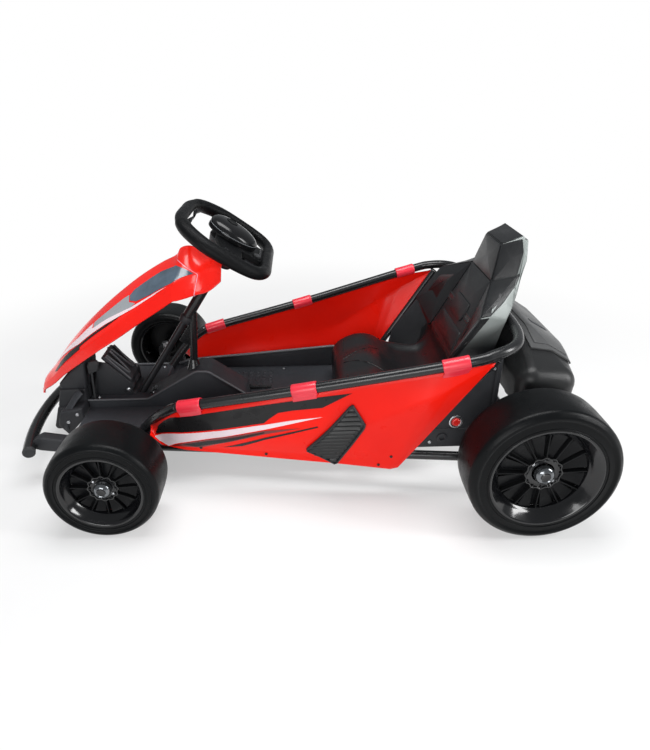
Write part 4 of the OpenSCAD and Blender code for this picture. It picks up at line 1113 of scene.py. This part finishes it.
# --- Side plates, switch and drive ----------------------------------------------------------------
side_outline = [(-262, 104), (-280, 180), (-366, 296), (-424, 316), (-424, 104)]
piece("side_plate_sheets", both(prism(side_outline, 236, 240)), "black_plastic", stands_for=["side_plates"],
    bevel=1.4, segments=3)
stiffener = [Vector((x, 240.5, z)) for x, z in ((-276, 112), (-292, 176), (-370, 284), (-414, 302),
    (-414, 112), (-276, 112))]
piece("side_plate_ribs", both(sweep(stiffener[:-1], 2.2, 1.6, sides=10, lift=(0, 1, 0)),
    bar((-414, 240.4, 150), (-300, 240.4, 150), 3, sides=10)), "black_plastic")
BUTTON = (-342, 236, 168)
bezel = [(9.2, -8), (12, -8), (12, 4.3), (15, 4.3), (15.2, 5.2), (14.6, 6.6), (12.4, 7.6), (10.2, 7.2),
    (9.2, 6.4)]
piece("power_bezel_ring", aimed(lathe(bezel, 48), BUTTON, (0, 1, 0)), "raw_steel", stands_for=["power_bezel"])
button = [(0, -18), (8.9, -18), (8.9, 8.2), (8.3, 9.8), (6.8, 10.8), (5.6, 10.9), (5.0, 10.3), (0, 10.0)]
piece("power_button_cap", aimed(lathe(button, 40, closed=False), BUTTON, (0, 1, 0)), "button_red",
    body="power", stands_for=["power_button"])
SOCKET = (-316, 236, 128)
socket = [(5.5, -8), (8, -8), (8, 4.2), (11, 4.2), (11.2, 5), (10.6, 7), (9.4, 7.6), (6.2, 7.6), (5.5, 7.0)]
piece("charge_socket_body", join(aimed(lathe(socket, 40), SOCKET, (0, 1, 0)), aimed(lathe([(0, -12),
    (8, -12), (8, -8), (0, -8)], 40, closed=False), SOCKET, (0, 1, 0))), "black_plastic",
    stands_for=["charge_socket"])
piece("charge_socket_pins", join(*[bar((SOCKET[0] + 2 * math.cos(a), 228, SOCKET[2] + 2 * math.sin(a)),
    (SOCKET[0] + 2 * math.cos(a), 237, SOCKET[2] + 2 * math.sin(a)), 1.2, sides=12) for a in (0.5, 2.6,
    4.7)]), "raw_steel")
piece("side_plate_screws", both(*[cap_screw((x, 240, z), (0, 1, 0), 4, 3) for x, z in ((-300, 168),
    (-290, 118), (-408, 126), (-372, 270), (-408, 292))]), "raw_steel")
gear_bolts = []
for dx, dz in ((30, -18), (-30, -18), (24, 40), (-34, 52), (0, -34)):
    x, z = REAR_AXLE[0] + dx, REAR_AXLE[1] + dz
    gear_bolts += [hex_bolt((x, 243.8, z), (0, -1, 0), 5, 3.5), hex_bolt((x, 296.2, z), (0, 1, 0), 5, 3.5)]
piece("gearbox_bolts", both(*gear_bolts), "raw_steel")
gear_ring = [(30, -2), (31, 1.6), (36, 2.0), (38.6, 1.4), (39.2, -2)]
piece("gearbox_rings", both(aimed(lathe(gear_ring, 48), (REAR_AXLE[0], 244, REAR_AXLE[1]), (0, -1, 0)),
    aimed(lathe(gear_ring, 48), (REAR_AXLE[0], 296, REAR_AXLE[1]), (0, 1, 0))), "black_plastic")
MOTOR_END = (-485, 160, 205)
motor_end = [(0, -1), (17, -1), (18.4, 0), (18.8, 2), (17.5, 3.4), (8, 3.4), (7, 5), (0, 5)]
motor_bands = [[(18.6, z), (20, z + 0.6), (20, z + 3.4), (18.6, z + 4)] for z in (6, 52)]
piece("motor_details", both(aimed(lathe(motor_end, 40, closed=False), MOTOR_END, (0, -1, 0)),
    *[aimed(lathe(b, 40), MOTOR_END, (0, 1, 0)) for b in motor_bands]), "dark_steel")
battery_trim = [box((-302, -80, 120), (-198, 80, 126)), box((-290, -60, 141), (-270, -30, 148)),
    box((-290, 30, 141), (-270, 60, 148))]
piece("battery_strap", join(*battery_trim), "end_rubber", bevel=1.5)
piece("controller_fins", join(*[box((-184, y, 125), (-118, y + 3, 132)) for y in range(-44, 45, 11)]),
    "controller_case", bevel=0.6, segments=2)

# --- Wheels: profiles and ribs stand on the wheel's own axis, its outer face looking along +Z -----
def rounded(profile, steps=4):
    """Rounds the corners marked with a radius in a turned profile."""
    out = []
    n = len(profile)
    for i, p in enumerate(profile):
        if len(p) == 2:
            out.append((p[0], p[1]))
            continue
        here = Vector((p[0], p[1], 0))
        a = Vector((profile[i - 1][0], profile[i - 1][1], 0)) - here
        b = Vector((profile[(i + 1) % n][0], profile[(i + 1) % n][1], 0)) - here
        cut = min(p[2], a.length * 0.48, b.length * 0.48)
        ta, tb = here + a.normalized() * cut, here + b.normalized() * cut
        for k in range(steps + 1):
            t = k / steps
            q = ta * (1 - t) ** 2 + here * (2 * t * (1 - t)) + tb * t * t
            out.append((q.x, q.y))
    return out


def tyre_profile(r, bore):
    half = TYRE_W / 2
    face = r * 0.915
    return rounded([(bore, 8 - half), (bore + 6, -half, 3), (face, -half, 8), (r - 1.2, 9 - half, 9),
        (r, -half * 0.4), (r, 0), (r, half * 0.4), (r - 1.2, half - 9, 7), (face + 1.5, half - 1.2, 5),
        (face - 3, half - 0.4), (r * 0.865, half - 3.6, 2), (bore + 7, half - 1.6, 1.2),
        (bore + 6.4, half - 2.8), (bore + 4.6, half - 2.6), (bore + 4, half - 1.4, 1),
        (bore + 0.6, half - 1.2, 1), (bore, half - 5)], steps=6)


def rim_shapes(barrel, hub, dish):
    half = TYRE_W / 2
    lip, disc = barrel - 1, half - dish
    edge = lip * 0.795
    bowl = rounded([(lip - 4, 8 - half), (lip - 0.2, 8 - half), (lip - 0.2, half - 3.4),
        (lip + 1.2, half - 1.2, 1), (lip - 2.6, half - 1.0, 1.6), (lip - 5, half - 3.2),
        (lip * 0.92, half - 7.5), (lip * 0.865, half - 13), (lip * 0.825, disc + 2.5, 3),
        (edge, disc - 1.5, 2), (edge - 1.4, disc - 9), (edge, disc - 12), (lip - 4, disc - 4)], steps=5)
    sectors, ribs = [], []
    spokes = 12
    for k in range(spokes):
        a = 2 * math.pi * k / spokes
        # each sector leans, so one side of it sinks behind the next rib
        rows = []
        for j in range(7):
            f = j / 6
            b = a + (0.10 + f * (2 * math.pi / spokes - 0.20))
            sink = 2.2 + 3.6 * (1 - f)
            row = []
            for r, z in ((hub + 7, disc - 2.0), (hub + 16, disc - 3.2), (lerp(hub, edge, 0.62), disc - 3.6),
                    (edge - 3.5, disc - 2.6), (edge - 1.0, disc - 1.0)):
                row.append(Vector((r * math.cos(b), r * math.sin(b), z - sink)))
            rows.append(row)
        sectors.append(thickened(rows, 3))
        c, s = math.cos(a), math.sin(a)
        fin = [(hub + 3, disc - 12), (edge - 1, disc - 12), (edge + 0.5, disc - 1.2), (edge - 6, disc - 1.6),
            (lerp(hub, edge, 0.5), disc - 0.6), (hub + 8, disc + 1.4), (hub + 3, disc + 2.2)]
        w = 1.25
        pts = [Vector((r * c - q * s, r * s + q * c, z)) for q in (-w, w) for r, z in fin]
        m = len(fin)
        ribs.append((pts, [[i, (i + 1) % m, m + (i + 1) % m, m + i] for i in range(m)] + [list(range(m - 1,
            -1, -1)), list(range(m, 2 * m))]))
    floor_ring = lathe(rounded([(hub, disc - 9), (edge, disc - 13.5), (edge, disc - 15.5),
        (hub, disc - 12)]), 72)
    lobes = []
    for row in ((hub + 9.0, disc - 10), (hub + 9.4, disc + 0.6), (hub + 8.8, disc + 2.0),
            (hub + 6.6, disc + 2.2), (hub + 4.6, disc - 1.2), (hub - 1, disc - 2.4), (hub - 1, disc - 10)):
        ring = []
        for i in range(144):
            a = 2 * math.pi * i / 144
            swell = 1.5 * math.cos(spokes * a) if row[0] > hub + 5 else 0
            ring.append(Vector(((row[0] + swell) * math.cos(a), (row[0] + swell) * math.sin(a), row[1])))
        lobes.append(ring)
    collar = grid(lobes, loop_u=True, loop_v=True)
    hub_core = lathe(rounded([(hub - 5, -half + 14), (hub, -half + 14, 1), (hub, disc - 2.2),
        (hub - 5, disc - 2.0)]), 48)
    return bowl, sectors, ribs, floor_ring, collar, hub_core


def thickened(rows, thick):
    """Gives an open sheet of points a thickness along Z."""
    n, m = len(rows), len(rows[0])
    low = [[p - Vector((0, 0, thick)) for p in row] for row in rows]
    top, bottom = grid(rows), grid(low)
    points = top[0] + bottom[0]
    faces = top[1] + [[n * m + i for i in reversed(f)] for f in bottom[1]]
    rim = list(range(m)) + [i * m + m - 1 for i in range(1, n)] + [(n - 1) * m + i for i in range(m - 2, -1,
        -1)]
    rim += [i * m for i in range(n - 2, 0, -1)]
    faces += [[rim[i], rim[(i + 1) % len(rim)], n * m + rim[(i + 1) % len(rim)],
        n * m + rim[i]] for i in range(len(rim))]
    return points, faces


WHEELS = [("front", FRONT_AXLE, FRONT_Y, 109.5, 81, 20, 20, 17, "f"), ("rear", REAR_AXLE, REAR_Y, 147, 109,
    27, 22, 19, "r")]
for end, axle, mid_y, radius, barrel, hub, dish, cap_r, letter in WHEELS:
    bowl, sectors, ribs, floor_ring, collar, hub_core = rim_shapes(barrel, hub, dish)
    disc = TYRE_W / 2 - dish
    for s, side in SIDES:
        body = f"wheel_{letter}{side[0]}"

        def put(shape):
            return on_axle(shape, axle, mid_y, s)

        piece(f"{end}_{side}_tyre_skin", put(lathe(tyre_profile(radius, barrel - 0.6), 128)), "tyre_black",
            body=body, stands_for=[f"{end}_tyre_{side}"], soften=50)
        piece(f"{end}_{side}_rim_bowl", put(join(lathe(bowl, 112), hub_core)), "rim_black", body=body,
            stands_for=[f"{end}_wheel_{side}"], soften=40)
        piece(f"{end}_{side}_rim_floor", put(join(floor_ring, *sectors)), "disc_black", body=body, bevel=0.5,
            segments=2, limit=50)
        piece(f"{end}_{side}_rim_ribs", put(join(*ribs)), "disc_black", body=body, bevel=0.7, segments=2,
            limit=50)
        piece(f"{end}_{side}_rim_collar", put(collar), "rim_black", body=body, soften=35)
        z0 = disc + 5.2
        cap = rounded([(cap_r - 3.4, z0 - 5), (cap_r, z0 - 5), (cap_r, z0 + 3.6, 1.6),
            (cap_r - 2.6, z0 + 7.4, 2.5), (cap_r * 0.62, z0 + 10.2, 2), (cap_r * 0.56, z0 + 9.2),
            (cap_r * 0.5, z0 + 8.6), (cap_r * 0.5, z0 + 4), (cap_r - 3.4, z0 + 2)], steps=5)
        piece(f"{end}_{side}_cap_shell", put(lathe(cap, 56)), "cap_grey", body=body,
            stands_for=[f"hub_cap_{end}_{side}"], soften=35)
        middle = [(0, z0 + 1), (cap_r * 0.51, z0 + 1), (cap_r * 0.51, z0 + 8.4), (cap_r * 0.42, z0 + 9.6),
            (cap_r * 0.3, z0 + 8.8), (0, z0 + 8.6)]
        piece(f"{end}_{side}_cap_middle", put(lathe(middle, 40, closed=False)), "rim_black", body=body,
            soften=35)
        screws = []
        for a in (0.72, 0.72 + math.pi):
            c = (hub + 2.2) * Vector((math.cos(a), math.sin(a), 0))
            head = moved(join(lathe([(0, 0), (3.2, 0), (3.2, 1.6), (2.4, 2.6), (1.2, 2.9), (1.1, 1.6),
                (0, 1.6)], 20, closed=False)), lambda v, c=c: Vector((v.x + c.x, v.y + c.y,
                v.z + disc - 2.2)))
            screws.append(head)
        piece(f"{end}_{side}_rim_screws", put(join(*screws)), "raw_steel", body=body)

# --- Steering wheel -------------------------------------------------------------------------------
RIM_HALF = [(114, 0), (112, 62), (94, 108), (52, 137), (4, 141), (-46, 134), (-72, 116), (-84, 84),
    (-85, 40), (-85, 0)]
rim_curve = [Vector((x, y, 0)) for x, y, _ in curve([(x, y, 0) for x, y in RIM_HALF], 8)]
rim_ring = rim_curve + [flip(p) for p in reversed(rim_curve[1:-1])]


def grip_r(i, wide):
    """The grip swells where the thumbs rest."""
    p = rim_ring[i % len(rim_ring)]
    swell = 1.2 * smoothstep(60, 120, abs(p.y)) * smoothstep(-60, 40, p.x)
    return (14.2 if wide else 13.6) + swell - (1.4 if p.x > 105 else 0)


rim_rows = []
N_RING = len(rim_ring)
for i, c in enumerate(rim_ring):
    t = (rim_ring[(i + 1) % N_RING] - rim_ring[i - 1]).normalized()
    out = Vector((t.y, -t.x, 0))
    row = []
    for k in range(28):
        a = 2 * math.pi * k / 28
        bump = 1.0 + 0.05 * math.cos(3 * a)
        row.append(c + out * (grip_r(i, True) * math.cos(a) * bump) + Vector((0, 0,
            grip_r(i, False) * math.sin(a))))
    rim_rows.append(row)
piece("steering_rim_grip", on_column(grid(rim_rows, loop_u=True, loop_v=True)), "grip_black",
    body="steering", stands_for=["steering_rim"], soften=70)


spokes = []
spokes.append(slab([(-26, -50), (-34, -112), (-10, -120), (6, -112), (34, -50), (40, 0), (34, 50), (6, 112),
    (-10, 120), (-34, 112), (-26, 50), (-28, 0)], -9, 3.4))
spokes.append(slab([(-78, -44), (-14, -48), (-14, 48), (-78, 44)], -9, 4.2))
piece("steering_spokes", on_column(join(*spokes)), "grip_black", body="steering", bevel=3, segments=4)
ledges = both(slab([(-22, 100), (16, 104), (24, 122), (-8, 128), (-34, 118)], -7, 6.5),
    slab([(96, 6), (101, 40), (97, 62), (88, 74), (94, 42), (92, 6)], -6, 2.5))
piece("steering_thumb_ledges", on_column(ledges), "grip_black", body="steering", bevel=2.2, segments=4)
ridges = both(*[bar((-20 + q, 106, 6.9), (-14 + q, 120, 6.9), 1.6, sides=8) for q in (0, 9, 18, 27)])
piece("steering_ledge_ridges", on_column(ridges), "grip_black", body="steering")
piece("steering_inner_screws", on_column(both(cap_screw((95, 50, 2.4), (0, 0, 1), 3.6, 2.4),
    cap_screw((6, 96, 3.2), (0, 0, 1), 4.0, 2.2))), "dark_steel", body="steering")
pad_rows = []
for z, grow, x_shift in ((4, 0.0, 0), (4.6, 1.6, 0), (9, 2.2, 0), (14.5, 1.2, 0), (15.2, 0.2, 0),
        (16, 1.4, 0), (20, 0.4, 1), (25, -4, 3), (29, -11, 5), (32, -20, 7), (33.6, -30, 8), (34, -38, 9)):
    row = []
    for k in range(72):
        a = 2 * math.pi * k / 72
        # an egg: wide towards the far side, drawn in towards the driver
        x = 8 + math.cos(a) * (52 if math.cos(a) > 0 else 58)
        y = math.sin(a) * (47 - 6 * (1 - math.cos(a)) * 0.5)
        d = Vector((x - 10, y, 0))
        q = d.normalized() * max(2.0, d.length + grow)
        row.append(Vector((10 + x_shift + q.x, q.y, z)))
    pad_rows.append(row)
pad_rows.append([Vector((19 + 1.5 * math.cos(2 * math.pi * k / 72), 1.5 * math.sin(2 * math.pi * k / 72),
    34.1)) for k in range(72)])
piece("steering_pad_cover", on_column(grid(pad_rows, loop_v=True, caps=True)), "pad_gloss", body="steering",
    stands_for=["steering_pad"], soften=40)
emblem = lathe([(0, 0), (9, 0), (9, 0.9), (8, 1.3), (7.4, 0.9), (0, 0.8)], 36, closed=False)
piece("steering_pad_disc", on_column(moved(emblem, lambda v: Vector((v.x * 1.5 + 19, v.y * 1.5,
    v.z + 33.9)))), "grip_black", body="steering")
keys = []
for y in (-34, -22, -10, 2, 14):
    keys.append(moved(dome(4.2, 3.0, turns=18, rings=4, foot=2), lambda v, y=y: Vector((v.x * 0.8 - 66,
        v.y * 1.2 + y, v.z + 4.2))))
piece("steering_keys", on_column(join(*keys)), "end_rubber", body="steering")
HORN_X, HORN_Y = -60, 34
horn = shifted(dome(8.0, 3.2, turns=36, rings=6, foot=1.6), HORN_X, HORN_Y, 8.4)
stem = shifted(lathe([(0, 6.5), (7.2, 6.5), (7.2, 7.6), (0, 7.6)], 30, closed=False), HORN_X, HORN_Y, 0)
piece("horn_button_cap", on_column(join(horn, stem)), "end_rubber", body="horn",
    stands_for=["horn_button"])
horn_collar = shifted(lathe([(8.7, 3.6), (10.6, 3.6), (10.6, 5.8), (9.9, 6.7), (8.7, 6.7)], 36), HORN_X,
    HORN_Y, 0)
piece("steering_horn_collar", on_column(horn_collar), "grip_black", body="steering")
boot = rounded([(16.3, -62), (26, -62, 3), (27.5, -55), (29, -54), (31, -46), (33.4, -45), (36, -36),
    (38.6, -35), (42, -24), (45, -23), (49, -12), (50, -8, 2), (44, -7), (16.3, -9)])
piece("steering_boot", on_column(lathe(boot, 64)), "black_plastic", body="steering",
    soften=40)
block = slab([(-84, -38), (-40, -44), (-40, 44), (-84, 38)], -27, -8)
piece("steering_rear_block", on_column(block), "black_plastic", body="steering", bevel=4,
    segments=4)

piece("steering_pad_seam", on_column(grid([[Vector((p.x, p.y, z)) for p in pad_rows[3]] for z in (14.4,
    15.4)] + [[Vector((p.x * 0.985, p.y * 0.985, z)) for p in pad_rows[3]] for z in (15.4, 14.4)],
    loop_u=True, loop_v=True)), "film_grey", body="steering")

# --- Pedal and its box ----------------------------------------------------------------------------
box_side = [(392, 124.2), (392, 156), (442, 210), (464, 214), (484, 134), (484, 124.2)]
cheeks = join(prism(box_side, 12, 16), prism(box_side, -70, -66))
front_wall = prism([(474, 127), (474, 174), (484, 134), (484, 127)], -68, 14)
foot = prism([(386, 124.2), (386, 127), (484, 127), (484, 124.2)], -68, 14)
piece("pedal_box_shell", join(cheeks, front_wall, foot), "black_plastic", stands_for=["pedal_box"],
    bevel=1.6, segments=3)
piece("pedal_hinge_pin", join(bar((400, -72, 138), (400, 18, 138), 6), aimed(lathe([(0, 0), (5.5, 0),
    (5.5, 2), (4, 3), (0, 3)], 24, closed=False), (400, 16.5, 138), (0, 1, 0))), "raw_steel")


def on_pedal(u, y, lift=0.0):
    """u runs from 0 at the hinge to 1 at the top of the tread."""
    return Vector((lerp(394.5, 446, u) - 0.77 * lift, y, lerp(160, 222, u) + 0.64 * lift))


tread = [(396, 144), (401, 148), (457, 219), (453, 223), (446, 222), (394, 160)]
piece("pedal_tread", join(prism(tread, -62, 8), bar((400, -62, 138), (400, 8, 138), 16)), "deck_plastic",
    body="accelerator", stands_for=["pedal"], bevel=2, segments=3)
webs = [prism([(401, 146), (449, 207), (447, 191), (416, 140)], y, y + 6) for y in (-62, -30, 2)]
piece("pedal_webs", join(*webs), "black_plastic", body="accelerator", bevel=0.8, segments=2)
walls, slots = [], []
for mid in (-44.5, -9.5):
    route = [(1.0, mid - 13), (0.3, mid - 5), (0.16, mid), (0.3, mid + 5), (1.0, mid + 13)]
    path = [on_pedal(*catmull([(u, y, 0) for u, y in route], k / 8)[:2], 2.4) for k in range(33)]
    walls.append(sweep(path, 1.9, 3.6, sides=14, lift=(-0.77, 0, 0.64)))
    outline = [(0.98, mid - 10.5), (0.32, mid - 3.4), (0.2, mid), (0.32, mid + 3.4), (0.98, mid + 10.5)]
    low = [on_pedal(u, y, 0.1) for u, y in outline]
    high = [on_pedal(u, y, 0.7) for u, y in outline]
    slots.append((low + high, [[0, 1, 2, 3, 4], [9, 8, 7, 6, 5]] + [[i, (i + 1) % 5, 5 + (i + 1) % 5,
        5 + i] for i in range(5)]))
border = [on_pedal(u, y, 0.8) for u, y in ((0.02, 6), (1.0, 6))]
# Painted highlight: the raised V walls and the edge beads take the lighter edge plastic.
piece("pedal_v_walls", join(*walls), "highlight_edge_plastic", body="accelerator")
# Painted shade: black films in the V slots stand in for the shadow in the grooves.
piece("pedal_v_slot_shades", join(*slots), "film_black", body="accelerator")
piece("pedal_edge_beads", join(sweep(border, 1.6, sides=12), sweep([p - Vector((0, 66, 0)) for p in border],
    1.6, sides=12)), "highlight_edge_plastic", body="accelerator")

# --- Small parts by the column --------------------------------------------------------------------
piece("column_foot_plate", join(box((332, -20, 124.2), (352, 20, 127)), prism([(336, 126), (334, 134),
    (342, 134), (350, 126)], -6, 6)), "frame_steel", bevel=1, segments=2)
piece("column_foot_screws", join(cap_screw((342, 14, 127), (0, 0, 1)), cap_screw((342, -14, 127),
    (0, 0, 1))), "raw_steel")
collar_ring = [(10.5, -8), (14, -8), (14.6, -7), (14.6, 7), (14, 8), (10.5, 8)]
way_down = Vector((math.sin(LEAN), 0, -math.cos(LEAN)))
for name, z in (("column_collar_low", 314), ("column_collar_high", 396)):
    back = (HUB.z - z) / math.cos(LEAN)
    piece(name, aimed(lathe(collar_ring, 36), HUB + way_down * back, way_down), "black_plastic")
